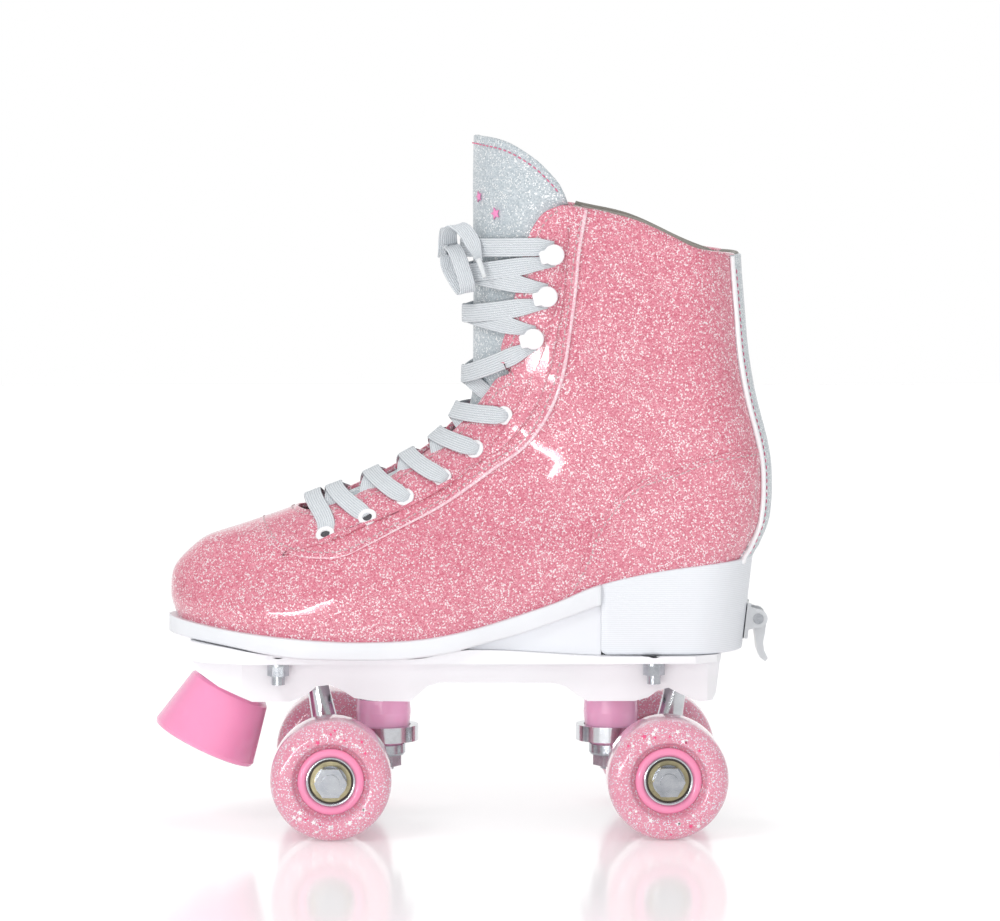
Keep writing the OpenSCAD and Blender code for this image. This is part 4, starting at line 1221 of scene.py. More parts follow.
@dataclass
class Tongue:
    """The padded tongue, with its edge stitches and two small stars."""

    low: float = 147.0
    thick: float = 3.4
    rows: int = 70
    cols: int = 61
    top = Curve((0, 312.2), (20, 311.8), (50, 309), (70, 302.3), (83, 294.6), (90, 289), (96, 281))
    reach = Curve((0, 30), (0.25, 42), (0.45, 62), (0.75, 78), (0.88, 85), (1, 95))

    def place(self, turn: np.ndarray, k: np.ndarray, extra: float = 0.0) -> np.ndarray:
        """Returns points of the tongue's face: turn from the middle in degrees, k the share of the way up."""
        z = self.low + (self.top(np.abs(turn)) - self.low) * k
        depth = 2.4 + 6.5 * (1 - np.minimum(1, k / 0.35)) + extra
        return BOOT.over(turn, z, -depth)

    def build(self) -> None:
        """Makes the tongue, its stitches and its stars."""
        k = np.linspace(0, 1, self.rows)[:, None]
        j = np.linspace(1, -1, self.cols)[None, :]
        turn = -self.reach(k) * j
        outer = self.place(turn, k)
        normals = grid_normals(outer)
        pad = self.thick * (0.35 + 0.65 * np.minimum(1, 6 * (1 - np.abs(j))) * np.minimum(1, 9 * (1 - k)))
        puff = 0.5 * np.minimum(1, 5 * (1 - np.abs(j))) * np.minimum(1, 8 * (1 - k))
        outer = outer + normals * puff[..., None]
        inner = outer - normals * (pad + 0.6)[..., None]
        piece = mesh_piece("padded_tongue", *thick_sheet(outer, inner), GREY_GLITTER)
        piece.data.materials.append(LINING.material())
        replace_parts(piece, "tongue")
        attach(piece, CHASSIS)
        self.seam()
        self.stars()

    def seam(self) -> None:
        """Sews the row of pink stitches inside the top edge."""
        turn = np.linspace(-88, 88, 170)
        z_top = self.top(np.abs(turn)) - 3.2
        k = (z_top - self.low) / (self.top(np.abs(turn)) - self.low)
        line = self.place(turn, k, -0.45)
        normals = unit(BOOT.over(turn, z_top, 3.0) - BOOT.over(turn, z_top, 0.0))
        row = stitches("tongue seam", line, normals, PINK_THREAD, 2.0, 0.8, 0.26)
        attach(mesh_piece("tongue_stitches", *row, PINK_THREAD), CHASSIS)

    def stars(self) -> None:
        """Lays two small pink stars on the front."""
        parts = []
        for turn, z, size in ((-23, 285, 2.7), (-43, 277.7, 3.0), (26, 282, 2.8)):
            centre = BOOT.over(turn, z, -1.2)
            normal = unit(BOOT.over(turn, z, 3.0) - BOOT.over(turn, z, 0.0))
            points, faces = star(size, 0.25)
            parts.append((turned(points, normal, centre), faces))
        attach(mesh_piece("tongue_stars", *joined(parts), STAR_PINK), CHASSIS)


def star(radius: float, thick: float, points: int = 5) -> tuple[np.ndarray, list]:
    """Returns a flat star that lies on the XY plane."""
    count = 2 * points
    reach = [radius * (1 if k % 2 == 0 else 0.45) for k in range(count)]
    turn = [TAU * k / count + TAU / 4 for k in range(count)]
    flat = [(r * math.cos(a), r * math.sin(a)) for r, a in zip(reach, turn)]
    low = [(x, y, -thick) for x, y in flat]
    high = [(x * 0.92, y * 0.92, thick) for x, y in flat]
    corners = np.array(low + high + [(0, 0, thick)])
    faces = [(k, (k + 1) % count, count + (k + 1) % count, count + k) for k in range(count)]
    faces += [(count + k, count + (k + 1) % count, 2 * count) for k in range(count)]
    faces.append(tuple(reversed(range(count))))
    return corners, faces


# ---------------------------------------------------------------- eyelets, hooks and lace


@dataclass
class Lacing:
    """Twelve eyelets, six hooks and the flat ribbed lace with its bow."""

    width: float = 8.3
    bow_width: float = 7.2
    thick: float = 1.15
    ribs: int = 8
    eyelet_r: float = 4.3
    hole_r: float = 2.1
    hook_neck_r: float = 2.6
    past_eyelet: float = 2.6
    gathered: float = 0.42
    gathered_hook: float = 0.4
    tip_length: float = 8.5
    tip_r: float = 1.35
    cord_m: float = 0.0056
    eyelets = ((-62, 133.3), (-43.1, 140.9), (-26.2, 149.8), (-9.3, 158.8), (5.4, 171.5), (18.8, 187.4))
    hooks = ((32.1, 222.4), (37.4, 241.2), (40.1, 259.8))
    knot = np.array([-5.2, -4.0, 261.0])
    loop_near = ((-5.8, -8, 261.5), (-5.6, -12, 262.4), (-4.8, -16, 262.4), (-3.6, -20, 261),
                 (-2.2, -23.6, 258), (-0.8, -26, 254), (0.6, -27, 249.6), (1.6, -26.6, 245.6),
                 (1.6, -24.6, 242.8), (0.2, -22, 242.8), (-2, -19.8, 245.6), (-4.2, -17.6, 249.2),
                 (-6, -15, 252.6), (-6.8, -12, 255.6), (-6.8, -8.6, 258.6))
    loop_far = ((-5.8, 0, 261.6), (-6.2, 4, 265), (-6.4, 8, 268.4), (-6.4, 12, 270.2), (-6.6, 16, 270),
                (-7, 19.4, 267.8), (-7.4, 21, 264.2), (-7.6, 20.2, 260.8), (-7.8, 17.4, 258.8),
                (-8, 13.6, 258), (-8, 9.6, 257.8), (-7.6, 5.6, 258), (-7, 2, 258.8))
    tail_near = ((-6.4, -8.4, 263.4), (-6.6, -11, 267), (-5.6, -14, 270.4), (-3.4, -17, 272),
                 (-0.6, -20, 271.2), (2, -23, 268.4), (4, -25.6, 264.8), (5.6, -28, 260.8), (7, -30.2, 256.6))
    tail_far = ((-6, 0.8, 256.6), (-5.7, 8, 254.4), (-3.4, 15.7, 251), (0.3, 23, 247.6), (5.4, 29.6, 243.8),
                (11.7, 35.2, 239.6), (16.7, 38.6, 235.8))

    def build(self) -> None:
        """Makes the eyelets, the hooks, the strands and the bow."""
        self.rings()
        self.lace_hooks()
        self.strands()
        self.bow()

    def on_stay(self, x: float, z: float, side: int, up: float) -> tuple[np.ndarray, np.ndarray]:
        """Returns a point over the eyestay and the direction out of it."""
        x, z = np.array(x, float), np.array(z, float)
        normal = BOOT.normal(x, z, side)
        return BOOT.surface(x, z, side) + normal * (1.1 + up), normal

    def rings(self) -> None:
        """Sets the white eyelets, with a dark disc of painted shade in each hole."""
        r_in, r_out = self.hole_r, self.eyelet_r
        profile = [(r_in, -1.6), (r_in, 0.1)] + arc_points((r_in + 0.55, 0.1), 0.55, 180, 90, 5)
        profile += arc_points((r_out - 0.5, 0.15), 0.5, 90, 0, 5)
        profile += [(r_out, -0.3), (r_out - 0.4, -0.6), (r_in + 0.9, -1.6)]
        # A dark disc sunk in each hole is painted shade, standing in for the dark inside of the boot.
        hole_shade = [(0.05, -0.35), (r_in + 0.2, -0.35), (r_in + 0.2, -1.2), (0.05, -1.2)]
        parts, hole_shades = [], []
        for side in (-1, 1):
            for x, z in self.eyelets:
                centre, normal = self.on_stay(x, z, side, 0.15)
                for section, sides, made in ((profile, 40, parts), (hole_shade, 24, hole_shades)):
                    points, faces = lathe(section, sides, closed=True)
                    made.append((turned(points, normal, centre), faces))
        piece = mesh_piece("eyelet_rings", *joined(parts), TRIM_WHITE)
        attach(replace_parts(piece, "eyelets"), CHASSIS)
        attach(mesh_piece("eyelet_shadows", *joined(hole_shades), CUP_GREY_AND_HOLE_SHADE), CHASSIS)

    def lace_hooks(self) -> None:
        """Sets the hooks: a foot, a neck and a head with a tab towards the throat."""
        turn = np.radians(np.linspace(-139, 139, 40))
        round_part = np.stack([np.cos(turn), np.sin(turn)], axis=1) * 4.7
        tab = np.array([(-5.4, 3.05), (-6.1, 2.8), (-6.4, 2.1), (-6.4, -2.1), (-6.1, -2.8), (-5.4, -3.05)])
        rim = np.concatenate([round_part, tab])
        layers = ((0.45, 3.0), (0.1, 3.15), (0.0, 3.5), (0.0, 4.1), (0.25, 4.5), (0.9, 4.8), (2.4, 5.0))
        foot = [(0.05, -0.3), (3.9, -0.3), (4.1, 0.1), (3.7, 0.5), (2.0, 0.8), (1.7, 1.4), (1.7, 3.3),
                (0.05, 3.3)]
        parts = []
        for side in (-1, 1):
            for x, z in self.hooks:
                centre, normal = self.on_stay(x, z, side, 0.0)
                backward = unit(np.array([1.0, 0.0, 0.25]) - normal * np.dot([1.0, 0.0, 0.25], normal))
                frame = np.array([backward, np.cross(normal, backward), normal])
                count = len(rim)
                rings = [np.column_stack([rim * (1 - inset / 5), np.full(count, h)]) for inset, h in layers]
                faces = grid_faces(len(rings), count, round_cols=True)
                faces.append(tuple(reversed(range(count))))
                faces.append(tuple((len(rings) - 1) * count + k for k in range(count)))
                parts.append((np.concatenate(rings) @ frame + centre, faces))
                points, faces = lathe(foot, 40)
                parts.append((points @ frame + centre, faces))
        piece = mesh_piece("hook_heads", *joined(parts), TRIM_WHITE)
        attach(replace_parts(piece, "lace_hooks"), CHASSIS)

    def ribbon(self, path: np.ndarray, normals: np.ndarray,
               width: np.ndarray | float) -> tuple[np.ndarray, list, np.ndarray]:
        """Returns a ribbed flat ribbon along a path.

        Args:
            path: its middle line.
            normals: the direction out of its face at each point.
            width: its width, or one for each point.

        Returns:
            Points, faces and surface coordinates.
        """
        along = unit(np.gradient(path, axis=0))
        across = unit(np.cross(normals, along))
        face = np.cross(along, across)
        size = np.broadcast_to(np.asarray(width, float), (len(path),))
        per_rib = 6
        count = self.ribs * per_rib + 1
        u = np.linspace(-0.5, 0.5, count)
        rib = 0.22 * (np.abs(np.sin(np.pi * (u + 0.5) * self.ribs)) - 1)
        edge = np.sqrt(np.clip(1 - (np.abs(u) * 2) ** 12, 0, 1))
        top = self.thick / 2 * edge + rib
        low = -self.thick / 2 * edge - rib
        section = np.concatenate([np.stack([u, top], 1), np.stack([u[::-1], low[::-1]], 1)[1:-1]])
        points = (path[:, None] + across[:, None] * (section[None, :, 0:1] * size[:, None, None])
                  + face[:, None] * section[None, :, 1:2])
        m = len(section)
        faces = [tuple(reversed(face)) for face in grid_faces(len(path), m, round_cols=True)]
        faces.append(tuple(range(m)))
        faces.append(tuple(len(path) * m - 1 - k for k in range(m)))
        length = distances(path)
        uv = np.stack([np.broadcast_to((section[:, 0] + 0.5) * self.ribs, (len(path), m)),
                       np.broadcast_to(length[:, None], (len(path), m))], axis=-1)
        return points.reshape(-1, 3), faces, uv.reshape(-1, 2)

    def add(self, parts: list, path: np.ndarray, normals: np.ndarray, width: np.ndarray | float) -> None:
        """Adds a ribbon to a list of them."""
        parts.append(self.ribbon(path, normals, width))

    def piece(self, name: str, parts: list) -> bpy.types.Object:
        """Makes one object of several ribbons."""
        points, faces = joined([(p, f) for p, f, _ in parts])
        return mesh_piece(name, points, faces, LACE, np.concatenate([uv for _, _, uv in parts]))

    def crossing(self, start: tuple[float, float], end: tuple[float, float], side: int, mid_up: float,
                 hooks: tuple[bool, bool]) -> tuple[np.ndarray, np.ndarray, np.ndarray]:
        """Returns a strand that leaves start on one side, crosses the throat and ends at end on the other.

        Args:
            start: the place that it leaves, in the side view.
            end: the place that it goes to.
            side: the side that it ends on.
            mid_up: how high over the skin it crosses the middle.
            hooks: whether it starts and ends at a hook.

        Returns:
            Its path, its normals and its widths.
        """
        t = np.linspace(0, 1, 46)
        begin = self.lifted(start, 3.2 if hooks[0] else 0.6)
        finish = self.lifted(end, -3.0 if hooks[1] else 0.0)
        a0, a1 = BOOT.turn_of(*begin), BOOT.turn_of(*finish)
        beyond = 0.0 if hooks[1] else self.past_eyelet
        turn = side * (-a0 + (a0 + a1 + beyond) * t)
        z = self.bridged(begin, finish, turn * side, a0, a1)
        rise_from = 2.2 if hooks[0] else -3.2
        up_end = 2.3 if hooks[1] else 2.6
        up = rise_from + (mid_up - rise_from) * ease(0.04, 0.3, t)
        up = up + (up_end - mid_up) * ease(0.6, 0.86, t)
        width = np.full(len(t), self.width)
        if not hooks[1]:
            up = up - 2.6 * ease(0.965, 1.0, t)
            width = width * (1 - self.gathered * ease(0.92, 1.0, t))
        else:
            width = width * (1 - self.gathered_hook * ease(0.86, 1.0, t))
        if hooks[0]:
            width = width * (1 - self.gathered_hook * ease(0.14, 0.0, t))
        return *BOOT.laid_over(turn, z, up), width

    def lifted(self, place: tuple[float, float], rise: float) -> tuple[float, float]:
        """Returns a place moved up the throat."""
        return place[0], place[1] + rise

    def bridged(self, start: tuple[float, float], end: tuple[float, float], turn: np.ndarray, a0: float,
                a1: float) -> np.ndarray:
        """Returns the heights of a strand that crosses the ridge of the boot straight between two places.

        Args:
            start: the place where it starts, at turn -a0.
            end: the place where it ends, at turn a1.
            turn: the turn from the middle of each point, in degrees.
            a0: the turn of the start.
            a1: the turn of the end.

        Returns:
            A height for each point.
        """
        heights = np.linspace(min(start[1], end[1]), max(start[1], end[1]) + 40, 400)
        ridge = np.stack([BOOT.front_x(heights), heights], axis=1)
        middle = np.array([(start[0] + end[0]) / 2, (start[1] + end[1]) / 2])
        top = heights[np.argmin(np.linalg.norm(ridge - middle, axis=1))]
        down = (1 - np.cos(np.radians(turn))) / (1 - np.cos(np.radians(np.where(turn < 0, a0, a1))))
        return top + (np.where(turn < 0, start[1], end[1]) - top) * down

    def strands(self) -> None:
        """Threads the lace: a bar at the lowest eyelets, crossings up to the last hooks, then the knot."""
        parts: list = []
        places = self.eyelets + self.hooks
        t = np.linspace(-1, 1, 40)
        x, z = self.eyelets[0]
        edge = BOOT.turn_of(x, z)
        turn = (edge + self.past_eyelet) * t
        up = 3.2 - 2.9 * ease(0.94, 1.0, np.abs(t))
        bar_z = self.bridged((x, z), (x, z), turn, edge, edge)
        width = self.width * (1 - self.gathered * ease(0.9, 1.0, np.abs(t)))
        self.add(parts, *BOOT.laid_over(turn, bar_z, up), width)
        first_hook = len(self.eyelets)
        for index in range(1, len(places)):
            hooked = (index - 1 >= first_hook, index >= first_hook)
            for side, mid in ((1, 1.6), (-1, 2.9)):
                self.add(parts, *self.crossing(places[index - 1], places[index], side, mid, hooked))
        for side in (-1, 1):
            self.top_strand(parts, side)
            for place in self.hooks:
                self.wrap(parts, place, side)
        piece = self.piece("threaded_lace", parts)
        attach(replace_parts(piece, "lace"), CHASSIS)

    def top_strand(self, parts: list, side: int) -> None:
        """Adds the strand from a top hook to the knot."""
        x, z = self.hooks[-1]
        t = np.linspace(0, 1, 34)
        turn = side * BOOT.turn_of(x, z) * (1 - t) + (-6.0 if side < 0 else 2.0) * t
        level = z + 3.6 - 1.6 * t
        up = 2.4 + 1.2 * ease(0.5, 1.0, t)
        width = self.width * (1 - self.gathered_hook * ease(0.14, 0.0, t))
        self.add(parts, *BOOT.laid_over(turn, level, up), width)

    def wrap(self, parts: list, place: tuple[float, float], side: int) -> None:
        """Adds the turn of lace behind a hook."""
        centre, normal = self.on_stay(*place, side, 1.9)
        angles = np.radians(np.linspace(-115, 115, 22))
        around = unit(np.cross([0.0, 0.0, 1.0], normal))
        upward = np.cross(normal, around)
        path = centre + self.hook_neck_r * (np.sin(angles)[:, None] * upward - np.cos(angles)[:, None] * around)
        self.add(parts, path, unit(path - centre), 2.6)

    def bow(self) -> None:
        """Ties the bow: a knot, two loops and two ends, each a ribbon of its own length."""
        knot = self.knot_piece()
        routes = {"bow_loop_near": self.loop_near, "bow_loop_far": self.loop_far,
                  "bow_end_near": self.tail_near, "bow_end_far": self.tail_far}
        first = True
        for name, route in routes.items():
            path = smooth_path(route, 0.7)
            tilt = np.tile([1.0, 0.0, 0.2], (len(path), 1))
            along = unit(np.gradient(path, axis=0))
            normals = unit(np.cross(along, tilt))
            width = np.full(len(path), self.bow_width)
            if "end" in name:
                width = width * (1 - 0.55 * ease(0.72, 1.0, np.linspace(0, 1, len(path))))
            piece = self.piece(name, [self.ribbon(path, normals, width)])
            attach(piece, CHASSIS)
            if first:
                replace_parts(piece, "lace_bow")
                first = False
            tip = self.aglet(name, path) if "end" in name else None
            tuple(path[0] * MM)
            [tuple(p) for p in path * MM]
        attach(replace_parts(knot, "lace_knot"), CHASSIS)

    def aglet(self, name: str, path: np.ndarray) -> bpy.types.Object:
        """Makes the clear tip on a free end."""
        way = unit(path[-1] - path[-3])
        line = path[-1] + way * np.linspace(-1.0, self.tip_length, 14)[:, None]
        size = self.tip_r - 0.35 * ease(0, 1, np.linspace(0, 1, 14))
        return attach(mesh_piece(name + "_aglet", *tube(line, size, 14), AGLET), CHASSIS)

    def knot_piece(self) -> bpy.types.Object:
        """Makes the knot: a flat band wrapped round the crossing."""
        turn = np.linspace(0, TAU * 1.02, 44)
        path = self.knot + np.stack([np.cos(turn) * 2.7, np.sin(turn * 2) * 0.5, np.sin(turn) * 3.4], axis=1)
        out = unit(path - self.knot)
        return self.piece("lace_knot_band", [self.ribbon(path, out, 6.6)])


# ---------------------------------------------------------------- sole, heel block and insole


@dataclass
class Sole:
    """The white band under the front of the boot, the sliding heel block and the insole."""

    rim: float = 2.2
    block_low: float = 79.9
    block_back: tuple[float, float] = (126.8, 131.6)
    block_grow: float = 0.8
    edge_mm: float = 0.6

    def build(self) -> None:
        """Makes the sole, the heel block and the insole."""
        self.front()
        self.block()
        self.insole()

    @staticmethod
    def loft(name: str, x: np.ndarray, half: np.ndarray, low: np.ndarray, high: np.ndarray, finish: Finish,
             round_low: float, round_high: float, squash: Callable | None = None) -> bpy.types.Object:
        """Makes a solid between two heights inside a plan outline, with rounded edges.

        Args:
            name: the piece's name.
            x: stations along it.
            half: half width at each.
            low: underside at each.
            high: top at each.
            finish: what it is made of.
            round_low: radius of the lower edge.
            round_high: radius of the upper edge.
            squash: moves stations by their share of the height, if given.

        Returns:
            The piece.
        """
        steps = (90.0, 10.0, 4.0)
        profile = [(inset, 0.0, True) for inset in steps]
        for a in np.radians(np.linspace(0, 90, 7)):
            profile.append((round_low * (1 - math.sin(a)), round_low * (1 - math.cos(a)), True))
        for share in (0.25, 0.5, 0.75):
            profile.append((-0.35 * math.sin(math.pi * share), share, None))
        for a in np.radians(np.linspace(0, 90, 7)):
            profile.append((round_high * (1 - math.cos(a)), round_high * (1 - math.sin(a)), False))
        profile += [(inset, 0.0, False) for inset in reversed(steps)]
        centre = BOOT.centre(x, np.zeros_like(x))
        rings = []
        for inset, rise, at_low in profile:
            width = np.maximum(half - inset, 0.0) if inset < 50 else np.zeros_like(half)
            if at_low is None:
                z = (low + round_low) + ((high - round_high) - (low + round_low)) * rise
            else:
                z = low + rise if at_low else high - rise
            share = (z - low) / (high - low)
            place = squash(x, share) if squash else x
            place = place + (x == x[0]) * np.clip(inset, 0, 6) * 0.4
            near, far = (np.stack([place, centre + side * width, z], axis=-1) for side in (-1, 1))
            rings.append(np.concatenate([near[::-1], far]))
        grid = np.array(rings)
        rows, cols = grid.shape[:2]
        faces = [tuple(reversed(f)) for f in grid_faces(rows, cols, round_cols=True)]
        return mesh_piece(name, grid.reshape(-1, 3), faces, finish)

    def front(self) -> None:
        """Makes the front sole with its band."""
        start = float(BOOT.front_x(94.0)) - self.rim
        x = start + 0.02 + (SPLIT_X - 0.4 - start - 0.02) * (1 - np.cos(np.radians(np.linspace(0, 90, 150))))
        half = BOOT.half(x, np.full_like(x, 94.0), -self.rim)
        low, high = BOOT.band_low(x), BOOT.feather(x) + 0.5
        piece = self.loft("front_sole_band", x, half, low, high, SOLE_WHITE, 1.4, 1.1)
        round_edges(piece, self.edge_mm, segments=2, over_degrees=50)
        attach(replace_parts(piece, "front_sole"), CHASSIS)

    def block(self) -> None:
        """Makes the heel block, which narrows slightly towards its foot."""
        back = self.block_back[1]
        start = SPLIT_X + np.array([-0.36, -0.1, 0.6, 1.7, 3.0, 4.6])
        flat = np.concatenate([start, np.linspace(68, 104, 36)])
        curved = 104 + (back - 104) * np.sin(np.radians(np.linspace(2, 90, 60)))
        x = np.concatenate([flat, curved[:-1], [back - 0.03]])
        half = BOOT.half(x, np.full_like(x, 121.0), -self.block_grow)
        half = half - 0.9 * (1 - ease(-0.4, 2.4, x - SPLIT_X))
        ratio = (self.block_back[0] - SPLIT_X) / (back - SPLIT_X)

        def leaning(place: np.ndarray, share: np.ndarray) -> np.ndarray:
            """Returns stations drawn in towards the front at the block's foot."""
            return SPLIT_X + (place - SPLIT_X) * (ratio + (1 - ratio) * np.clip(share, 0, 1))

        low = np.full_like(x, self.block_low - 0.3) + 1.2 * (1 - ease(-0.4, 3.0, x - SPLIT_X)) ** 2
        high = BOOT.feather(x) + 0.4
        piece = self.loft("heel_block_shell", x, half, low, high, BLOCK_WHITE, 1.6, 1.0, leaning)
        round_edges(piece, self.edge_mm, segments=2, over_degrees=50)
        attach(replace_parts(piece, "heel_block"), CARRIAGE)

    def insole(self) -> None:
        """Makes the insole, which bends up to the heel."""
        x = np.linspace(-122, 124, 110)
        level = BOOT.feather(x)
        half = np.maximum(BOOT.half(x, level + 4, 6.2), 0.5)
        piece = self.loft("cloth_insole", x, half, level + 0.6, level + 4.4, INSOLE, 1.2, 1.4)
        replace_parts(piece, "insole_front", "insole_rear")
        stretches(piece)


# ---------------------------------------------------------------- wheels


@dataclass
class Wheels:
    """The four glitter tyres with their stars, round the hubs and bearings of the frame."""

    radius: float = 27.0
    half: float = 16.0
    round_r: float = 6.5
    hub_r: float = 13.8
    hub_half: float = 13.5

    def profile(self) -> list[tuple[float, float]]:
        """Returns the tyre's section, from the inner bore out over one face and back over the other."""
        corner = (self.radius - self.round_r, self.half - self.round_r)
        face = [(self.hub_r + 0.03, self.half - 3.6), (15.4, self.half - 3.4), (16.2, self.half - 2.9),
                (16.7, self.half - 1.6), (17.1, self.half - 0.5), (17.9, self.half - 0.02), (19.2, self.half)]
        face += arc_points(corner, self.round_r, 88, 4, 12)
        other = [(r, -h) for r, h in reversed(face)]
        return face + [(self.radius, 0.0)] + other

    def build(self) -> None:
        """Makes every tyre."""
        rng = random.Random(7)
        for name in WHEELS:
            low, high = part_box(f"tyre_{name}")
            centre = np.array((low + high) / 2) / MM
            outward = np.array([0.0, -1.0 if "left" in name else 1.0, 0.0])
            points, faces = lathe(self.profile(), 128, closed=True)
            piece = mesh_piece(f"glitter_tyre_{name}", turned(points, outward, centre), faces, TYRE)
            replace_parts(piece, f"tyre_{name}")
            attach(piece, f"wheel_{name}")
            self.face_rings(name, centre, outward)
            self.decorate(name, centre, outward, rng)

    def face_rings(self, name: str, centre: np.ndarray, outward: np.ndarray) -> None:
        """Adds the raised hub rim and the bearing's steel lip and dark groove on both faces of a wheel."""
        face = self.hub_half
        rings = {
            "hub_rim": ([(11.3, face - 0.4), (11.4, face + 0.5), (11.9, face + 0.9), (13.0, face + 1.0),
                         (14.2, face + 0.7), (14.8, face - 0.1), (14.8, face - 0.6)], HUB_ROSE),
            "bearing_lip": ([(9.7, face - 0.5), (9.8, face + 0.05), (10.1, face + 0.3), (10.8, face + 0.35),
                             (11.2, face), (11.2, face - 0.5)], POLISHED),
            "bearing_groove": ([(9.1, face - 0.5), (9.1, face - 0.12), (9.8, face - 0.12),
                                (9.8, face - 0.5)], GROOVE),
        }
        for label, (section, finish) in rings.items():
            parts = []
            for way in (outward, -outward):
                points, faces = lathe(section, closed=True)
                parts.append((turned(points, way, centre), faces))
            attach(mesh_piece(f"{label}_{name}", *joined(parts), finish), f"wheel_{name}")

    def decorate(self, name: str, centre: np.ndarray, outward: np.ndarray, rng: random.Random) -> None:
        """Scatters small stars and dots round the outer face of a tyre."""
        parts: dict[str, list] = {"white": [], "pink": []}
        for index in range(40):
            angle = (index % 2) * math.pi + math.radians(105) * (rng.random() - 0.5)
            ring = 18.6 + 5.6 * rng.random()
            over = max(0.0, ring - (self.radius - self.round_r))
            height = self.half - self.round_r + math.sqrt(max(self.round_r ** 2 - over ** 2, 0.0))
            lean = math.asin(min(1.0, over / self.round_r))
            size = rng.choice((0.6, 0.8, 1.0, 1.4))
            points, faces = star(size, 0.07, 5 if size > 0.8 else 4)
            spin = rng.uniform(0, TAU)
            c, s = math.cos(spin), math.sin(spin)
            turn = np.array([[c, s, 0], [-s, c, 0], [0, 0, 1]])
            radial = np.array([math.cos(angle), math.sin(angle), 0.0])
            normal = radial * math.sin(lean) + np.array([0, 0, math.cos(lean)])
            local = turned(points @ turn, normal, radial * ring + np.array([0, 0, height + 0.02]))
            parts["white" if rng.random() < 0.6 else "pink"].append((turned(local, outward, centre), faces))
        for colour, finish in (("white", STAR_WHITE), ("pink", WHEEL_PINK)):
            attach(mesh_piece(f"{colour}_stars_{name}", *joined(parts[colour]), finish), f"wheel_{name}")


# ---------------------------------------------------------------- hard parts that the frame shapes


class Dress(Enum):
    """The finish of each hard part whose shape comes from the frame."""

    PLATE = (("plate",), NYLON, 1.1)
    WEDGE = (("arch_wedge",), WEDGE_WHITE, 0.8)
    STOP = (("toe_stop",), STOP_ROSE, 1.2)
    CUSHIONS = (("front_cushion_upper", "front_cushion_lower", "rear_cushion_upper", "rear_cushion_lower"),
                CUSHION_ROSE, 0.6)
    FASTENERS = (("toe_stop_bolt", "mounting_bolts", "mounting_nuts", "kingpins", "kingpin_nuts",
                  "cushion_washers", "front_axle", "rear_axle", "front_axle_nuts", "rear_axle_nuts",
                  "front_axle_washers", "rear_axle_washers", "lever_pin"), ZINC, 0.35)
    RACES = (("front_bearing_inners", "rear_bearing_inners") + tuple(f"bearings_{w}" for w in WHEELS),
             BEARING, 0.15)
    ALLOY = (("front_hanger", "rear_hanger"), POLISHED, 0.7)
    LEVER = (("lever_bracket", "lever"), LEVER_GREY, 0.7)
    CUPS = (("pivot_cups",), CUP_GREY_AND_HOLE_SHADE, 0.3)
    HUBS = (tuple(f"hub_{w}" for w in WHEELS), HUB_ROSE, 0.4)

    def dress(self, nodes: dict[str, bpy.types.Object]) -> None:
        """Gives the parts their finish and rounds their edges.

        Args:
            nodes: the frame's parts by name.
        """
        names, finish, edge = self.value
        for name in names:
            part = nodes[name]
            part.data.materials.clear()
            part.data.materials.append(finish.material())
            round_edges(part, edge, segments=3, over_degrees=35).harden_normals = True
        log.info("%s: %d parts in %s", self.name.lower(), len(names), type(finish).__name__)


# ---------------------------------------------------------------- studio


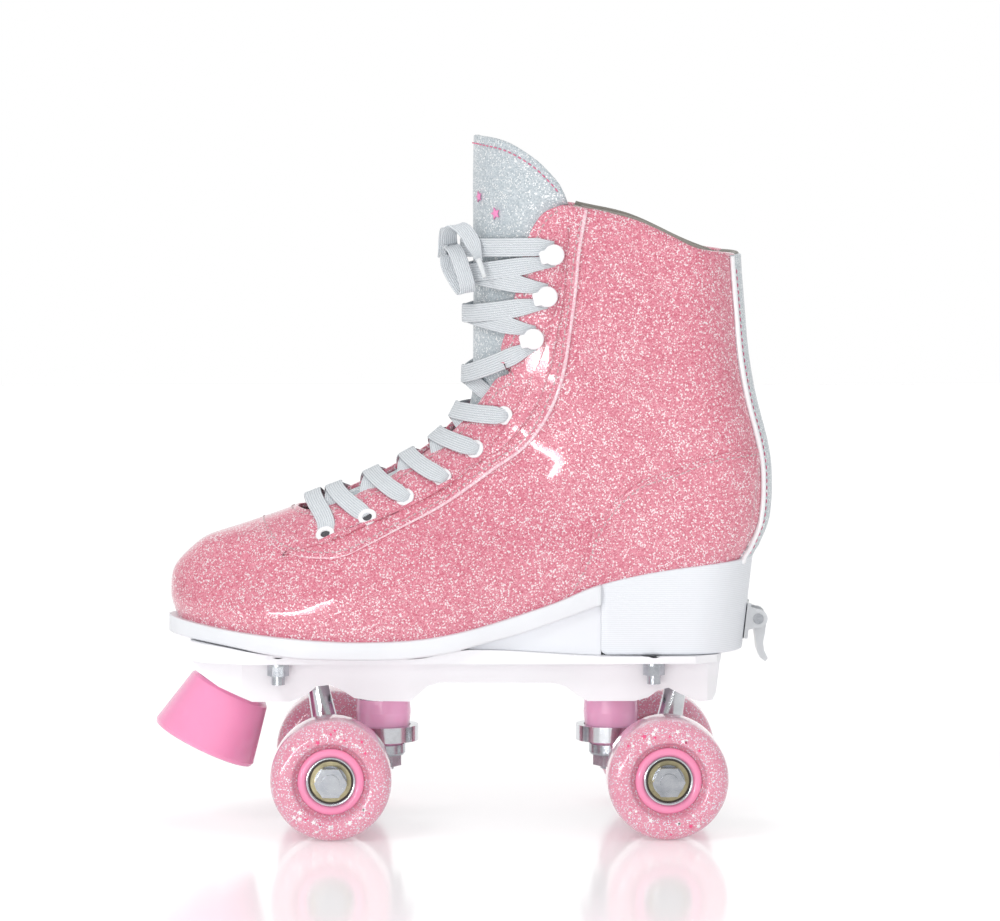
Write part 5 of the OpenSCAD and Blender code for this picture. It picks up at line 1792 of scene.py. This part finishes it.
@dataclass
class Studio:
    """A pale glossy floor, soft light and the camera."""

    camera_at: tuple[float, float, float] = (-0.0222, -2.08, 0.337)
    looks_at: tuple[float, float, float] = (0.0168, 0.0, 0.1647)
    lens: float = 165.1

    lamps = (
        ("key", (-1.0, -1.2, 1.5), (0.0, 0.0, 0.15), (0.7, 0.7), 10, False),
        ("fill", (1.5, -1.1, 0.9), (0.0, 0.0, 0.15), (1.2, 1.2), 3, False),
        ("front", (0.1, -2.7, 0.9), (0.0, 0.0, 0.12), (1.8, 0.9), 9, False),
        ("low_fill", (-0.2, -1.5, 0.12), (0.0, 0.0, 0.06), (1.4, 0.2), 2, False),
        ("top", (0.1, 0.2, 1.8), (0.0, 0.0, 0.1), (1.2, 0.8), 5, False),
        ("low_strip", (-0.62, -1.45, 0.03), (-0.05, 0.0, 0.1), (0.9, 0.07), 3, True),
    )

    def build(self) -> None:
        """Makes the floor, the lights and the camera."""
        self.camera()
        self.floor()
        self.world()
        for lamp in self.lamps:
            self.light(*lamp)

    @staticmethod
    def aimed(name: str, data: bpy.types.ID, at: tuple, aim: tuple) -> bpy.types.Object:
        """Places a camera or a lamp and points it.

        Args:
            name: what it is called.
            data: its camera or light.
            at: where it stands.
            aim: what it points at.

        Returns:
            The object.
        """
        made = bpy.data.objects.new(name, data)
        bpy.context.scene.collection.objects.link(made)
        made.location = at
        made.rotation_euler = (Vector(aim) - Vector(at)).to_track_quat("-Z", "Y").to_euler()
        return made

    def camera(self) -> None:
        """Sets up the camera."""
        data = bpy.data.cameras.new("camera")
        data.lens = self.lens
        data.sensor_width = 36
        data.clip_end = 50
        bpy.context.scene.camera = self.aimed("camera", data, self.camera_at, self.looks_at)

    def floor(self) -> None:
        """Makes the floor."""
        wide, deep, high = 4000.0, 3000.0, 3000.0
        flat = np.array([(-wide, -wide, 0), (wide, -wide, 0), (wide, deep, 0), (-wide, deep, 0)])
        wall = np.array([(-wide, deep, 0), (wide, deep, 0), (wide, deep, high), (-wide, deep, high)])
        pale = Shader("floor")
        pale.set(base_color=(0.85, 0.85, 0.85, 1.0), roughness=0.12, specular_ior_level=0.5,
                 emission_color=(1.0, 1.0, 1.0, 1.0), emission_strength=0.2)
        bright = Shader("backdrop")
        bright.set(base_color=(0.0, 0.0, 0.0, 1.0), specular_ior_level=0.0,
                   emission_color=(1.0, 1.0, 1.0, 1.0), emission_strength=1.0)
        for name, corners, shader in (("floor", flat, pale), ("backdrop", wall, bright)):
            plane = mesh_piece(name, corners, [(0, 1, 2, 3)], NYLON)
            plane.data.materials.clear()
            plane.data.materials.append(shader.material)

    def world(self) -> None:
        """Lights the background."""
        world = bpy.data.worlds.new("world")
        world.use_nodes = True
        colour, strength = world.node_tree.nodes["Background"].inputs[:2]
        colour.default_value = (1.0, 1.0, 1.0, 1.0)
        strength.default_value = 0.56
        bpy.context.scene.world = world
        bpy.context.scene.view_settings.view_transform = "Standard"

    def light(self, name: str, at: tuple, aim: tuple, size: tuple[float, float], power: float,
              shines: bool) -> None:
        """Hangs one soft light.

        Args:
            name: what it is called.
            at: where it hangs.
            aim: what it points at.
            size: its width and height.
            power: its power in watts.
            shines: whether glossy surfaces mirror it.
        """
        data = bpy.data.lights.new(name, "AREA")
        data.shape = "RECTANGLE"
        data.size, data.size_y = size
        data.energy = power
        self.aimed(name, data, at, aim).visible_glossy = shines


def main() -> None:
    """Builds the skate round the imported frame."""
    logging.basicConfig(level=logging.INFO, format="%(name)s: %(message)s")
    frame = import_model()
    Studio().build()
    for group in Dress:
        group.dress(frame["nodes"])
    for assembly in (Lacing(), Upper(), Tongue(), Sole(), Wheels()):
        assembly.build()
        log.info("%s is made", type(assembly).__name__)


if __name__ == "__main__":
    main()
